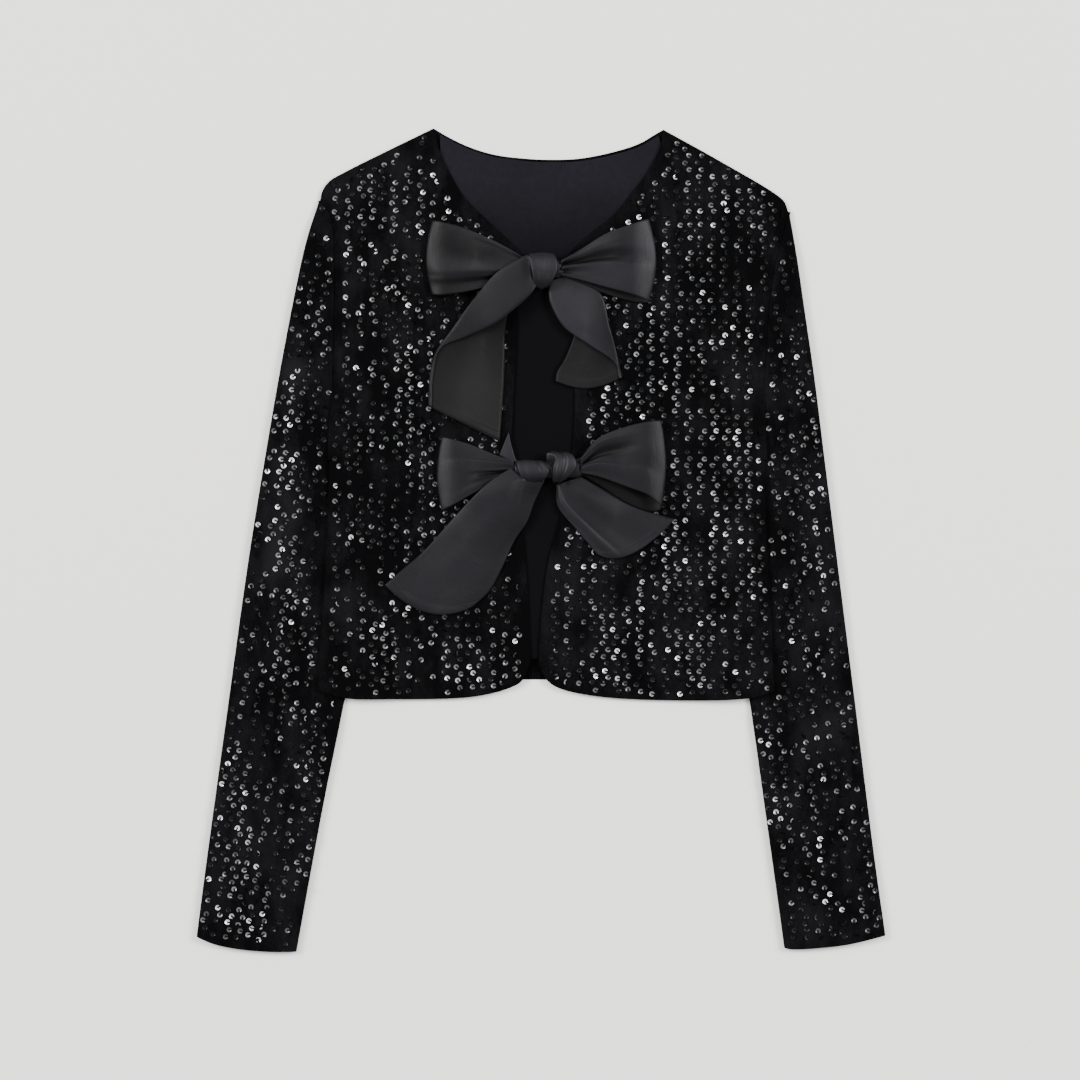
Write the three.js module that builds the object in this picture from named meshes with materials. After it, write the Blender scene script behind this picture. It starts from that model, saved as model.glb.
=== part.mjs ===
// A cropped sequin cardigan in black velvet, laid flat on its back. Its fronts are tied by two satin bows.
// Millimetres. +Z is up from the table, +Y runs towards the neck and +X to the viewer's right.
// The wearer's right is therefore at negative X. "Right" and "left" below are the wearer's.
import * as THREE from 'three';

// Walls of the three cloths
const velvet = 1.5;
const liningCloth = 1.0;
const satin = 1.0;

// Air between pieces
const seamGap = 0.3;
const layerGap = 0.7;
const armholeGap = 0.7;

// The sleeves are flat tubes. Their inner edges lie folded under the body's sides.
const tuckedHeight = 3.9;
const sleeveHeight = 6.3;
const openingReach = 25;
const bodyLift = tuckedHeight + layerGap;
const bridgeReach = 62;
const underarmReach = 75;
const hemLevel = -127;

// The guide line of a sleeve meets the cuff at this share of its length, and the armhole this far above its foot
const cuffShare = 0.4;
const guideFoot = 26;

// How far the fronts rise over the lining, and how far from a seam they have risen
const overLining = liningCloth + 2 * layerGap - seamGap;
const liningRise = 12;

// Grid of the panels. A third of the back's columns lie under each shoulder and a third under the neck.
const bodyRows = 24;
const armholeRows = 12;
const necklineRows = 8;
const frontColumns = 12;
const backColumns = 24;
const sleeveSections = 20;

// Smooth step from 0 to 1
const smooth = (t) => {
  const s = Math.min(1, Math.max(0, t));
  return s * s * (3 - 2 * s);
};
const mix = (a, b, t) => a + (b - a) * t;

// A smooth line in the plane of the table, through points [x, y]
const line = (...points) =>
  new THREE.CatmullRomCurve3(points.map(([x, y]) => new THREE.Vector3(x, y, 0)), false, 'centripetal');

// Where each piece is cut, as lines through points [x, y]
const sides = {
  right: {
    sign: -1,
    shoulder: line([-86, 330], [-121, 313], [-157, 295], [-169, 288], [-175, 280], [-177, 272]),
    armhole: line([-177, 272], [-169, 262], [-166, 247], [-165, 208], [-166, 152], [-167, 112], [-169, 64]),
    sideSeam: line([-169, 64], [-172, -12], [-175, -64], [-178, -120]),
    neckline: line([-86, 330], [-81, 311], [-74, 296], [-61, 274], [-45, 258], [-26, 240], [-10, 225]),
    frontEdge: line([-10, 225], [-17, 192], [-20, 152], [-22, 112], [-23, 80], [-19, 40], [-13, -8], [-8, -96]),
    frontHem: line([-8, -96], [-15, -112], [-25, -118], [-54, -125], [-121, -127], [-157, -126], [-178, -120]),
    sleeveOuter: line([-275, -317], [-267, -256], [-251, -140], [-233, -12], [-220, 68], [-209, 132], [-200, 180],
      [-191, 224], [-186, 244], [-177, 272]),
    sleeveInner: line([-195, -329], [-184, -268], [-172, -204], [-159, -140], [-148, -80], [-141, -16], [-142, 8],
      [-147, 32], [-157, 52], [-169, 64]),
    cuff: line([-195, -329], [-217, -329], [-241, -327], [-261, -323], [-275, -317]),
    sleeveGuide: [[-210, -220], [-192, -140], [-181, -70], [-177, -12], [-173.5, 45], [-171, 68]],
  },
  left: {
    sign: 1,
    shoulder: line([98, 329], [143, 304], [187, 278], [195, 271], [198, 263]),
    armhole: line([198, 263], [192, 240], [186, 216], [182, 184], [180, 152], [178, 112], [179, 64]),
    sideSeam: line([179, 64], [181, -12], [184, -64], [187, -121]),
    neckline: line([98, 329], [95, 314], [86, 296], [75, 281], [59, 261], [44, 249], [29, 236], [18, 225]),
    frontEdge: line([18, 225], [22, 192], [26, 152], [27, 112], [25, 72], [17, 24], [6, -16], [0, -64], [-2, -100]),
    frontHem: line([-2, -100], [5, -112], [14, -118], [47, -125], [127, -128], [167, -126], [187, -121]),
    sleeveOuter: line([275, -316], [266, -252], [250, -124], [234, 4], [226, 68], [218, 132], [211, 180],
      [204, 228], [198, 263]),
    sleeveInner: line([194, -326], [186, -268], [177, -204], [168, -140], [159, -80], [152, -16], [152, 8],
      [157, 32], [166, 50], [179, 64]),
    cuff: line([194, -326], [199, -327], [223, -326], [247, -323], [275, -316]),
    sleeveGuide: [[212, -220], [198, -140], [190, -70], [186, -12], [182.5, 45], [180.5, 68]],
  },
};
const backNeck = line([-86, 330], [-74, 323], [-57, 315], [-37, 309], [-13, 306], [7, 305], [31, 306], [57, 311],
  [79, 318], [91, 325], [98, 329]);
const backHem = line([-178, -120], [-113, -116], [-57, -112], [47, -112], [127, -116], [187, -121]);

// Soft folds in the cloth: where the ridge starts and ends, its half width and its height
const frontFolds = [
  { x0: -150, y0: 150, x1: -143, y1: -20, half: 16, high: 1.6 },
  { x0: -112, y0: 40, x1: -120, y1: -110, half: 18, high: 1.3 },
  { x0: -60, y0: -70, x1: -54, y1: -128, half: 13, high: 1.2 },
  { x0: 166, y0: 220, x1: 140, y1: 120, half: 14, high: 1.8 },
  { x0: 158, y0: 60, x1: 164, y1: -90, half: 16, high: 1.5 },
  { x0: 118, y0: 110, x1: 126, y1: -40, half: 18, high: 1.2 },
  { x0: 27, y0: -30, x1: 20, y1: -104, half: 9, high: 1.2 },
];
const sleeveFolds = [
  { x0: -200, y0: 140, x1: -236, y1: -70, half: 15, high: 0.6 },
  { x0: -205, y0: 10, x1: -190, y1: -110, half: 14, high: 0.5 },
  { x0: -250, y0: -180, x1: -215, y1: -300, half: 16, high: 0.6 },
  { x0: 205, y0: 150, x1: 222, y1: -40, half: 14, high: 0.6 },
  { x0: 200, y0: -110, x1: 232, y1: -220, half: 15, high: 0.6 },
  { x0: 225, y0: -230, x1: 214, y1: -310, half: 14, high: 0.5 },
];

// Where a place is beside a straight line: the nearest share of the line's length, and the way from there
function beside({ x0, y0, x1, y1 }, x, y) {
  const dx = x1 - x0;
  const dy = y1 - y0;
  const along = Math.min(1, Math.max(0, ((x - x0) * dx + (y - y0) * dy) / (dx * dx + dy * dy)));
  const offX = x - x0 - along * dx;
  return { along, offX, away: Math.hypot(offX, y - y0 - along * dy) };
}

// How high the folds stand at a place
const foldHeight = (folds, x, y) =>
  Math.max(0, ...folds.map((fold) => fold.high * smooth(1 - beside(fold, x, y).away / fold.half)));

// One line made of several, each taking its share of the whole, up to the given ends
const joined = (parts, ends) => (t) => {
  const k = Math.min(parts.length - 1, ends.findIndex((end) => t <= end + 1e-9));
  const start = k ? ends[k - 1] : 0;
  return parts[k](Math.min(1, (t - start) / (ends[k] - start)));
};
const forwards = (curve) => (t) => curve.getPointAt(t);
const backwards = (curve) => (t) => curve.getPointAt(1 - t);

// A four-sided piece of cloth between its edges: u runs across from first to last, v from top to bottom
const patch = (top, bottom, first, last) => (u, v) => {
  const p = new THREE.Vector3();
  p.addScaledVector(top(u), 1 - v).addScaledVector(bottom(u), v);
  p.addScaledVector(first(v), 1 - u).addScaledVector(last(v), u);
  p.addScaledVector(top(0), -(1 - u) * (1 - v)).addScaledVector(top(1), -u * (1 - v));
  p.addScaledVector(bottom(0), -(1 - u) * v).addScaledVector(bottom(1), -u * v);
  return p;
};

const range = (count, make) => Array.from({ length: count + 1 }, (_, k) => make(k / count, k));

// The x of a line at a level y
function xAtLevel(points, y) {
  for (let k = 1; k < points.length; k += 1) {
    const a = points[k - 1];
    const b = points[k];
    if (y >= b.y) return mix(a.x, b.x, Math.min(1, Math.max(0, (a.y - y) / (a.y - b.y))));
  }
  return points[points.length - 1].x;
}

for (const side of Object.values(sides)) {
  side.edge = joined([forwards(side.armhole), forwards(side.sideSeam)], [armholeRows / bodyRows, 1]);
  side.edgePoints = range(60, side.edge);
  side.tuckPoints = [...range(30, forwards(side.armhole)), ...range(30, backwards(side.sleeveInner))];
  side.underarm = side.armhole.getPointAt(1);
}

// How far the sleeves, folded under the sides, raise the cloth that lies on them
function lift(x, y) {
  let height = 0;
  for (const side of Object.values(sides)) {
    const inside = (xAtLevel(side.tuckPoints, y) - x) * side.sign;
    const below = (side.underarm.y + underarmReach - y) / underarmReach;
    height += bodyLift * smooth(1 - inside / bridgeReach) * smooth(below);
  }
  return height;
}

// A closed wall between two sheets of the same grid. A round wall's columns join up into a tube.
function wall(under, over, round = false) {
  const rows = under.length;
  const columns = under[0].length;
  const sheet = rows * columns;
  const positions = [...under.flat(), ...over.flat()].flatMap((p) => [p.x, p.y, p.z]);
  const index = [];
  const quad = (a, b, c, d) => index.push(a, b, c, a, c, d);
  const at = (j, i) => j * columns + (i % columns);
  const spans = round ? columns : columns - 1;
  for (let j = 0; j < rows - 1; j += 1) {
    for (let i = 0; i < spans; i += 1) {
      quad(at(j, i), at(j + 1, i), at(j + 1, i + 1), at(j, i + 1));
      quad(sheet + at(j, i), sheet + at(j, i + 1), sheet + at(j + 1, i + 1), sheet + at(j + 1, i));
    }
  }
  for (let i = 0; i < spans; i += 1) {
    quad(at(0, i), at(0, i + 1), sheet + at(0, i + 1), sheet + at(0, i));
    quad(at(rows - 1, i + 1), at(rows - 1, i), sheet + at(rows - 1, i), sheet + at(rows - 1, i + 1));
  }
  if (!round) {
    for (let j = 0; j < rows - 1; j += 1) {
      quad(at(j + 1, 0), at(j, 0), sheet + at(j, 0), sheet + at(j + 1, 0));
      quad(at(j, columns - 1), at(j + 1, columns - 1), sheet + at(j + 1, columns - 1), sheet + at(j, columns - 1));
    }
  }
  return facingOut(positions, index);
}

// A geometry with its faces turned so that it holds a positive volume
function facingOut(positions, index) {
  const corner = (k) => new THREE.Vector3(...positions.slice(3 * k, 3 * k + 3));
  let volume = 0;
  for (let k = 0; k < index.length; k += 3) {
    volume += corner(index[k]).dot(corner(index[k + 1]).cross(corner(index[k + 2])));
  }
  const geometry = new THREE.BufferGeometry();
  geometry.setAttribute('position', new THREE.Float32BufferAttribute(positions, 3));
  geometry.setIndex(volume < 0 ? [...index].reverse() : index);
  geometry.computeVertexNormals();
  return geometry;
}

// A panel that lies on what is under it: its plan, and the height of its underside at each place
function panel(plan, columns, rows, underside, thickness) {
  const grid = range(rows, (v) => range(columns, (u) => {
    const p = plan(u, v);
    p.z = underside(p, u, v);
    return p;
  }));
  const over = grid.map((row) => row.map((p) => new THREE.Vector3(p.x, p.y, p.z + thickness)));
  return wall(grid, over);
}

// The hem's share of the length at each column, so that the columns are closer together near the sides
const hemShare = (u) => (u < 1 / 3 ? u * 0.8 : u > 2 / 3 ? 1 - (1 - u) * 0.8 : 0.8 / 3 + (u - 1 / 3) * 1.4);
const backPlan = patch(
  joined([backwards(sides.right.shoulder), forwards(backNeck), forwards(sides.left.shoulder)], [1 / 3, 2 / 3, 1]),
  (u) => backHem.getPointAt(hemShare(u)), sides.right.edge, sides.left.edge);

const back = () => panel(backPlan, backColumns, bodyRows, (p) => lift(p.x, p.y), velvet);

// The lining lies on the back, level with the neck edge but clear of the other seams
function backLining() {
  const neckInset = 0.006;
  const shoulderInset = 0.045;
  const step = 1 / backColumns;
  const plan = (u, v) => {
    const across = mix(step, 1 - step, u);
    const topInset = Math.abs(across - 0.5) > 0.16 ? shoulderInset : neckInset;
    return backPlan(across, Math.max(topInset, v * (1 - 1 / bodyRows)));
  };
  return panel(plan, backColumns - 2, bodyRows - 1, (p) => lift(p.x, p.y) + velvet + layerGap, liningCloth);
}

// A front lies on the back at its seams, and on the lining elsewhere
function front(side) {
  const inner = joined([forwards(side.neckline), forwards(side.frontEdge)], [necklineRows / bodyRows, 1]);
  const plan = patch(forwards(side.shoulder), forwards(side.frontHem), inner, side.edge);
  return panel(plan, frontColumns, bodyRows, (p, u, v) => {
    const fromSeam = Math.min(p.distanceTo(side.edge(v)), p.distanceTo(side.shoulder.getPointAt(u)));
    const risen = smooth(fromSeam / liningRise);
    return lift(p.x, p.y) + velvet + seamGap + (overLining + foldHeight(frontFolds, p.x, p.y)) * risen;
  }, velvet);
}

// A sleeve is a flat tube from the cuff to the armhole, low where it is tucked under the body. Its plan is two
// patches that meet on a guide line outside the body's edge.
function sleeve(side) {
  const shifted = (curve, distance) => (t) => {
    const p = curve(t);
    p.x += distance * side.sign;
    return p;
  };
  const armholeShare = 1 - guideFoot / side.armhole.getLength();
  const part = (curve, from, to) => (t) => curve.getPointAt(mix(from, to, t));
  const armhole = (from, to) => shifted(part(side.armhole, from, to), armholeGap);
  const [low, high] = [side.cuff.getPointAt(cuffShare), armhole(armholeShare, 0)(0)];
  const guide = forwards(line([low.x, low.y], ...side.sleeveGuide, [high.x, high.y]));
  const tucked = patch(part(side.cuff, 0, cuffShare), armhole(1, armholeShare),
    shifted(forwards(side.sleeveInner), armholeGap), guide);
  const open = patch(part(side.cuff, cuffShare, 1), armhole(armholeShare, 0),
    guide, shifted(forwards(side.sleeveOuter), armholeGap));
  const height = (p) => {
    const outside = (p.x - xAtLevel(side.edgePoints, p.y)) * side.sign;
    const risen = Math.max(smooth(outside / openingReach), smooth((hemLevel - p.y) / openingReach));
    return mix(tuckedHeight, sleeveHeight + foldHeight(sleeveFolds, p.x, p.y), risen);
  };
  const across = [0, 0.14, 0.3, 0.46, 0.62, 0.78, 0.9, 1];
  const turns = [-Math.PI / 4, 0, Math.PI / 4];
  const outer = [];
  const inner = [];
  range(sleeveSections, (v) => {
    const under = tucked(0, v).distanceTo(tucked(1, v));
    const width = under + open(0, v).distanceTo(open(1, v));
    const plan = (offset) => (offset < under ? tucked(offset / under, v) : open((offset - under) / (width - under), v));
    const foldIn = height(plan(0)) / 2;
    const foldOut = height(plan(width)) / 2;
    const ring = (inset) => {
      const place = (offset, z) => plan(offset).setZ(z);
      const flat = (s) => mix(foldIn, width - foldOut, s);
      return [
        ...across.map((s) => place(flat(s), inset)),
        ...turns.map((turn) => place(width - foldOut + (foldOut - inset) * Math.cos(turn),
          foldOut + (foldOut - inset) * Math.sin(turn))),
        ...[...across].reverse().map((s) => place(flat(s), height(plan(flat(s))) - inset)),
        ...[...turns].reverse().map((turn) => place(foldIn - (foldIn - inset) * Math.cos(turn),
          foldIn + (foldIn - inset) * Math.sin(turn))),
      ];
    };
    outer.push(ring(0));
    inner.push(ring(velvet));
  });
  return wall(inner, outer, true);
}

// The height of the upper face of the fronts, on which the bows lie
const frontTop = (x, y) => lift(x, y) + 2 * velvet + seamGap + overLining + foldHeight(frontFolds, x, y);

// The creases of a ribbon fade out this close to the knot, as a share of the ribbon's length
const pinched = 0.04;

// How high the creases stand at a place on a ribbon, where x is the share of its width and y that of its length.
// A crease has a height at either end, and half widths below and above it in x.
function creaseHeight(creases, x, y) {
  let height = 0;
  for (const crease of creases) {
    const { along, offX, away } = beside(crease, x, y);
    const half = mix(crease.below, crease.above, 0.5 + offX / (2 * Math.max(away, 1e-6)));
    height += mix(crease.high0, crease.high1, along) * smooth(1 - away / half);
  }
  return height * smooth(Math.min(y, 1 - y) / pinched);
}

// A ribbon through a net of points, whose z is their height above the fronts. Each row of the net runs across the
// ribbon. The wall stands half its thickness to each side of the creased net.
function ribbon(net, rows, creases = []) {
  const columns = net[0].length - 1;
  const lengths = range(columns, (_, i) => {
    const curve = new THREE.CatmullRomCurve3(net.map((row) => row[i]), false, 'centripetal');
    return range(rows, (t) => curve.getPoint(t));
  });
  const grid = range(rows, (y, j) => range(columns, (x, i) => {
    const p = lengths[i][j].clone();
    p.z += frontTop(p.x, p.y) + creaseHeight(creases, x, y);
    return p;
  }));
  const normal = (j, i) => {
    const along = grid[Math.min(rows, j + 1)][i].clone().sub(grid[Math.max(0, j - 1)][i]);
    const over = grid[j][Math.min(columns, i + 1)].clone().sub(grid[j][Math.max(0, i - 1)]);
    return along.cross(over).normalize();
  };
  const moved = (distance) =>
    grid.map((row, j) => row.map((p, i) => p.clone().addScaledVector(normal(j, i), distance)));
  return wall(moved(-satin / 2), moved(satin / 2));
}

// The loops of the bows, from the knot outwards. Each row is a section across the ribbon at x: its edges, and
// the middle heights of its upper and lower layers. The last row is the outer fold, where bulge is how far its
// middle stands out. drop is how far the lower layer shows below the upper. The upper layer is the second half of
// the ribbon's length.
const loops = {
  bow_upper_loop_right: {
    bulge: -5, drop: 0,
    rows: [
      { x: -12.3, top: 225, bottom: 211, upper: 6.8, lower: 4 },
      { x: -33, top: 237, bottom: 205, upper: 7, lower: 2.2 },
      { x: -57, top: 248, bottom: 199, upper: 8.3, lower: 1.2 },
      { x: -78, top: 254, bottom: 196, upper: 7.3, lower: 1.2 },
      { x: -87, top: 256, bottom: 196, upper: 4.2, lower: 4.2 },
    ],
    creases: [
      { x0: 0.22, y0: 0.98, high0: -2.2, x1: 0.24, y1: 0.68, high1: -0.6, below: 0.14, above: 0.14 },
      { x0: 0.42, y0: 0.97, high0: 1.4, x1: 0.44, y1: 0.7, high1: 0.5, below: 0.14, above: 0.26 },
      { x0: 0.86, y0: 1, high0: -0.8, x1: 0.92, y1: 0.78, high1: -0.2, below: 0.1, above: 0.1 },
    ],
  },
  bow_upper_loop_left: {
    bulge: 6, drop: 5,
    rows: [
      { x: 14.8, top: 223, bottom: 212, upper: 7.8, lower: 4.8 },
      { x: 31, top: 232, bottom: 208, upper: 8.8, lower: 3.7 },
      { x: 52, top: 245, bottom: 202, upper: 10.3, lower: 2.6 },
      { x: 74, top: 253, bottom: 196, upper: 9.3, lower: 1.6 },
      { x: 86, top: 257, bottom: 193, upper: 5.2, lower: 5.2 },
    ],
    creases: [
      { x0: 0.5, y0: 0.96, high0: 1.8, x1: 0.43, y1: 0.7, high1: 0.5, below: 0.3, above: 0.1 },
      { x0: 0.62, y0: 0.97, high0: -2.2, x1: 0.55, y1: 0.7, high1: -0.4, below: 0.12, above: 0.16 },
      { x0: 0.86, y0: 0.98, high0: 0.8, x1: 0.82, y1: 0.74, high1: 0.3, below: 0.1, above: 0.1 },
    ],
  },
  bow_lower_loop_right: {
    bulge: -4, drop: 0,
    rows: [
      { x: -20.6, top: 63, bottom: 54, upper: 6.4, lower: 3.8 },
      { x: -38, top: 69, bottom: 46, upper: 6.8, lower: 2.8 },
      { x: -57, top: 77, bottom: 36, upper: 8, lower: 1.6 },
      { x: -71, top: 81, bottom: 28, upper: 7.3, lower: 1.2 },
      { x: -79, top: 83, bottom: 24, upper: 4.2, lower: 4.2 },
    ],
    creases: [
      { x0: 0.72, y0: 0.98, high0: 1.4, x1: 0.66, y1: 0.66, high1: 0.4, below: 0.1, above: 0.16 },
      { x0: 0.5, y0: 0.93, high0: -2, x1: 0.42, y1: 0.79, high1: -0.3, below: 0.1, above: 0.12 },
      { x0: 0.32, y0: 0.94, high0: 1, x1: 0.24, y1: 0.76, high1: 0.3, below: 0.1, above: 0.1 },
    ],
  },
  bow_lower_loop_left: {
    bulge: 4, drop: 10,
    rows: [
      { x: 30.8, top: 65, bottom: 54, upper: 7.8, lower: 4.8 },
      { x: 46, top: 82, bottom: 51, upper: 9.3, lower: 4 },
      { x: 68, top: 91, bottom: 43, upper: 10.3, lower: 3 },
      { x: 86, top: 95, bottom: 36, upper: 9.3, lower: 2 },
      { x: 96, top: 96, bottom: 32, upper: 5.8, lower: 5.8 },
    ],
    creases: [
      { x0: 0.48, y0: 0.97, high0: 1.5, x1: 0.44, y1: 0.7, high1: 0.4, below: 0.26, above: 0.1 },
      { x0: 0.62, y0: 0.97, high0: -2, x1: 0.68, y1: 0.76, high1: -0.4, below: 0.12, above: 0.14 },
      { x0: 0.88, y0: 0.98, high0: 0.9, x1: 0.9, y1: 0.74, high1: 0.3, below: 0.1, above: 0.1 },
    ],
  },
};

// A loop runs out from the knot as the lower layer, turns at the outer fold and comes back as the upper one
function loop({ bulge, drop, rows, creases }) {
  const columns = 12;
  const edgeDrop = 0.2;
  const layer = (row, level, lowered) => range(columns, (w) => {
    const middle = (row.upper + row.lower) / 2;
    const full = mix(middle, level, 1 - edgeDrop * (1 - Math.sin(Math.PI * w)));
    const bottom = row.bottom - lowered * smooth((row.x - rows[0].x) / (rows[1].x - rows[0].x) - 0.5);
    return new THREE.Vector3(row.x, mix(bottom, row.top, w), level > middle ? full : level);
  });
  const fold = rows[rows.length - 1];
  const turn = range(columns, (w) => new THREE.Vector3(fold.x + bulge * Math.sin(Math.PI * w),
    mix(fold.bottom - drop / 2, fold.top, w), fold.upper));
  const flat = rows.slice(0, -1);
  const net = [
    ...flat.map((row) => layer(row, row.lower, drop)),
    turn,
    ...[...flat].reverse().map((row) => layer(row, row.upper, 0)),
  ];
  return ribbon(net, 16, creases);
}

// The tails of the bows, from the knot to the cut end. Each row is a section across the ribbon: its free edge (ax, ay),
// its middle or turned fold (fx, fy), its far edge (bx, by), and the heights of those three. A turned tail is folded
// over along its fold, with the free edge on top and the far edge underneath. sag is how far the middle of its
// cut end curves out.
const tails = {
  bow_upper_tail_right: {
    turned: true, sag: 0,
    rows: [
      { ax: -8.6, ay: 199.5, fx: -14.5, fy: 225.5, bx: -15, by: 212, az: 11.6, fz: 10.8, bz: 9.5 },
      { ax: -18, ay: 187.5, fx: -34, fy: 214, bx: -23, by: 199, az: 11.2, fz: 10.9, bz: 9.3 },
      { ax: -37, ay: 173, fx: -52, fy: 194, bx: -27, by: 180, az: 9.6, fz: 9.4, bz: 7.6 },
      { ax: -61, ay: 163, fx: -71, fy: 169, bx: -29, by: 164, az: 4.4, fz: 3.4, bz: 1.4 },
      { ax: -79.5, ay: 153, fx: -84, fy: 150.5, bx: -29, by: 146, az: 3.4, fz: 2.2, bz: 1.2 },
      { ax: -85, ay: 131, fx: -88.5, fy: 131, bx: -30, by: 120, az: 3, fz: 2, bz: 1.2 },
      { ax: -86, ay: 106, fx: -89.5, fy: 107, bx: -33, by: 79, az: 2.9, fz: 1.9, bz: 1.2 },
    ],
  },
  bow_upper_tail_left: {
    turned: true, sag: 7,
    rows: [
      { ax: 6, ay: 199, fx: 24, fy: 207, bx: 17, by: 204, az: 2.8, fz: 2, bz: 1 },
      { ax: 8, ay: 188, fx: 47, fy: 197, bx: 30, by: 188, az: 3.4, fz: 2.2, bz: 1 },
      { ax: 19, ay: 170, fx: 54, fy: 172, bx: 27, by: 166, az: 4.2, fz: 3, bz: 1.2 },
      { ax: 39, ay: 156, fx: 60, fy: 151, bx: 20, by: 147, az: 3.8, fz: 2.6, bz: 1.2 },
      { ax: 57.5, ay: 142.5, fx: 62.5, fy: 140, bx: 13, by: 135, az: 3.2, fz: 2, bz: 1.2 },
      { ax: 60.5, ay: 130, fx: 64, fy: 129.5, bx: 11.5, by: 127.5, az: 2.9, fz: 1.9, bz: 1.2 },
    ],
  },
  bow_lower_tail_right: {
    turned: false,
    rows: [
      { ax: -24, ay: 57, fx: -16, fy: 46, bx: -6, by: 41.5, az: 9, fz: 8.8, bz: 5.6 },
      { ax: -40, ay: 50, fx: -22, fy: 40, bx: -3, by: 30, az: 8.8, fz: 9.6, bz: 4.4 },
      { ax: -51, ay: 39, fx: -32, fy: 27, bx: -9, by: 15, az: 9, fz: 7.6, bz: 3 },
      { ax: -67, ay: 22, fx: -43, fy: 12, bx: -15, by: 0, az: 3.6, fz: 5, bz: 1.8 },
      { ax: -93, ay: -8, fx: -62, fy: -16, bx: -31, by: -23, az: 1.4, fz: 3.2, bz: 1.4 },
      { ax: -110, ay: -23, fx: -76, fy: -36, bx: -40, by: -40, az: 1.3, fz: 2.2, bz: 1.3 },
      { ax: -125, ay: -38, fx: -88, fy: -57, bx: -50, by: -50, az: 1.2, fz: 1.7, bz: 1.2 },
    ],
  },
  bow_lower_tail_left: {
    turned: false,
    rows: [
      { ax: 13, ay: 42.5, fx: 19, fy: 45, bx: 30, by: 49, az: 2, fz: 2, bz: 1.2 },
      { ax: 15, ay: 26, fx: 26, fy: 31, bx: 53, by: 38, az: 1.8, fz: 3.6, bz: 1.2 },
      { ax: 27, ay: 4, fx: 44, fy: 12, bx: 78, by: 26, az: 1.4, fz: 3.4, bz: 1.2 },
      { ax: 45, ay: -10, fx: 73, fy: -9, bx: 107, by: 17, az: 1.2, fz: 2.2, bz: 1.4 },
    ],
  },
};

// A turned tail bends round its fold, so its section has a point on each side, near the fold. Another tail's
// section is a curve through its middle.
function tail({ turned, sag, rows }) {
  const bend = 1.5;
  const openColumns = 8;
  const net = rows.map((row, k) => {
    const free = new THREE.Vector3(row.ax, row.ay, row.az);
    const fold = new THREE.Vector3(row.fx, row.fy, row.fz);
    const far = new THREE.Vector3(row.bx, row.by, row.bz);
    if (!turned) {
      return range(openColumns, (w) => free.clone().multiplyScalar((1 - w) * (1 - 2 * w))
        .addScaledVector(fold, 4 * w * (1 - w)).addScaledVector(far, w * (2 * w - 1)));
    }
    const [over, under] = [free, far].map((edge) => fold.clone().lerp(edge, bend / fold.distanceTo(edge)).setZ(edge.z));
    const hang = k === rows.length - 1 ? sag : 0;
    const lower = range(4, (w) => under.clone().lerp(far, w).add(new THREE.Vector3(0, -hang * Math.sin(Math.PI * w), 0)));
    return [free, over.clone().lerp(free, 0.5), over, fold, ...lower];
  });
  return ribbon(net, 12);
}

// The short ends of the ties, sewn to the edges of the fronts and gathered under the knots
const ties = {
  tie_upper_right: [{ x: -24, top: 226, bottom: 208 }, { x: -12, top: 222, bottom: 212 }, { x: 0.8, top: 221, bottom: 213 }],
  tie_upper_left: [{ x: 30, top: 226, bottom: 210 }, { x: 16, top: 222, bottom: 212 }, { x: 1.6, top: 221, bottom: 213 }],
  tie_lower_right: [{ x: -32, top: 86, bottom: 66 }, { x: -20, top: 70, bottom: 54 }, { x: 3.4, top: 61, bottom: 51 }],
  tie_lower_left: [{ x: 36, top: 68, bottom: 52 }, { x: 20, top: 63, bottom: 51 }, { x: 4.2, top: 61, bottom: 51 }],
};
const tieHeight = 1.1;
const tieWave = 0.12;

function tie(rows) {
  const net = rows.map((row) => range(4, (w, k) =>
    new THREE.Vector3(row.x, mix(row.bottom, row.top, w), tieHeight + (k % 2 ? tieWave : -tieWave))));
  return ribbon(net, 4);
}

// The knots: sections across the wrapped ribbon, with its edges, its highest and its lowest point at each x
const knots = {
  bow_upper_knot: [
    { x: -11.5, top: 225, bottom: 212, high: 9, low: 4 },
    { x: -8.5, top: 229, bottom: 208, high: 11.8, low: 2.6 },
    { x: -3, top: 230.5, bottom: 203, high: 13.6, low: 2.2 },
    { x: 5, top: 231, bottom: 202, high: 13.8, low: 2.2 },
    { x: 11, top: 228.5, bottom: 206.5, high: 12.2, low: 2.6 },
    { x: 14.2, top: 222, bottom: 212, high: 9.6, low: 4.2 },
  ],
  bow_lower_knot: [
    { x: -20, top: 62, bottom: 55, high: 7.2, low: 3.6 },
    { x: -15, top: 63.5, bottom: 48, high: 10.4, low: 2.6 },
    { x: -6, top: 62, bottom: 44, high: 11.8, low: 2.2 },
    { x: 2, top: 60, bottom: 44, high: 10.2, low: 2.4 },
    { x: 8, top: 64, bottom: 43.5, high: 12.2, low: 2.2 },
    { x: 15, top: 70, bottom: 43, high: 13.4, low: 2.2 },
    { x: 24, top: 69, bottom: 47, high: 11.8, low: 2.6 },
    { x: 30.2, top: 64, bottom: 54, high: 8.8, low: 4 },
  ],
};

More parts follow.
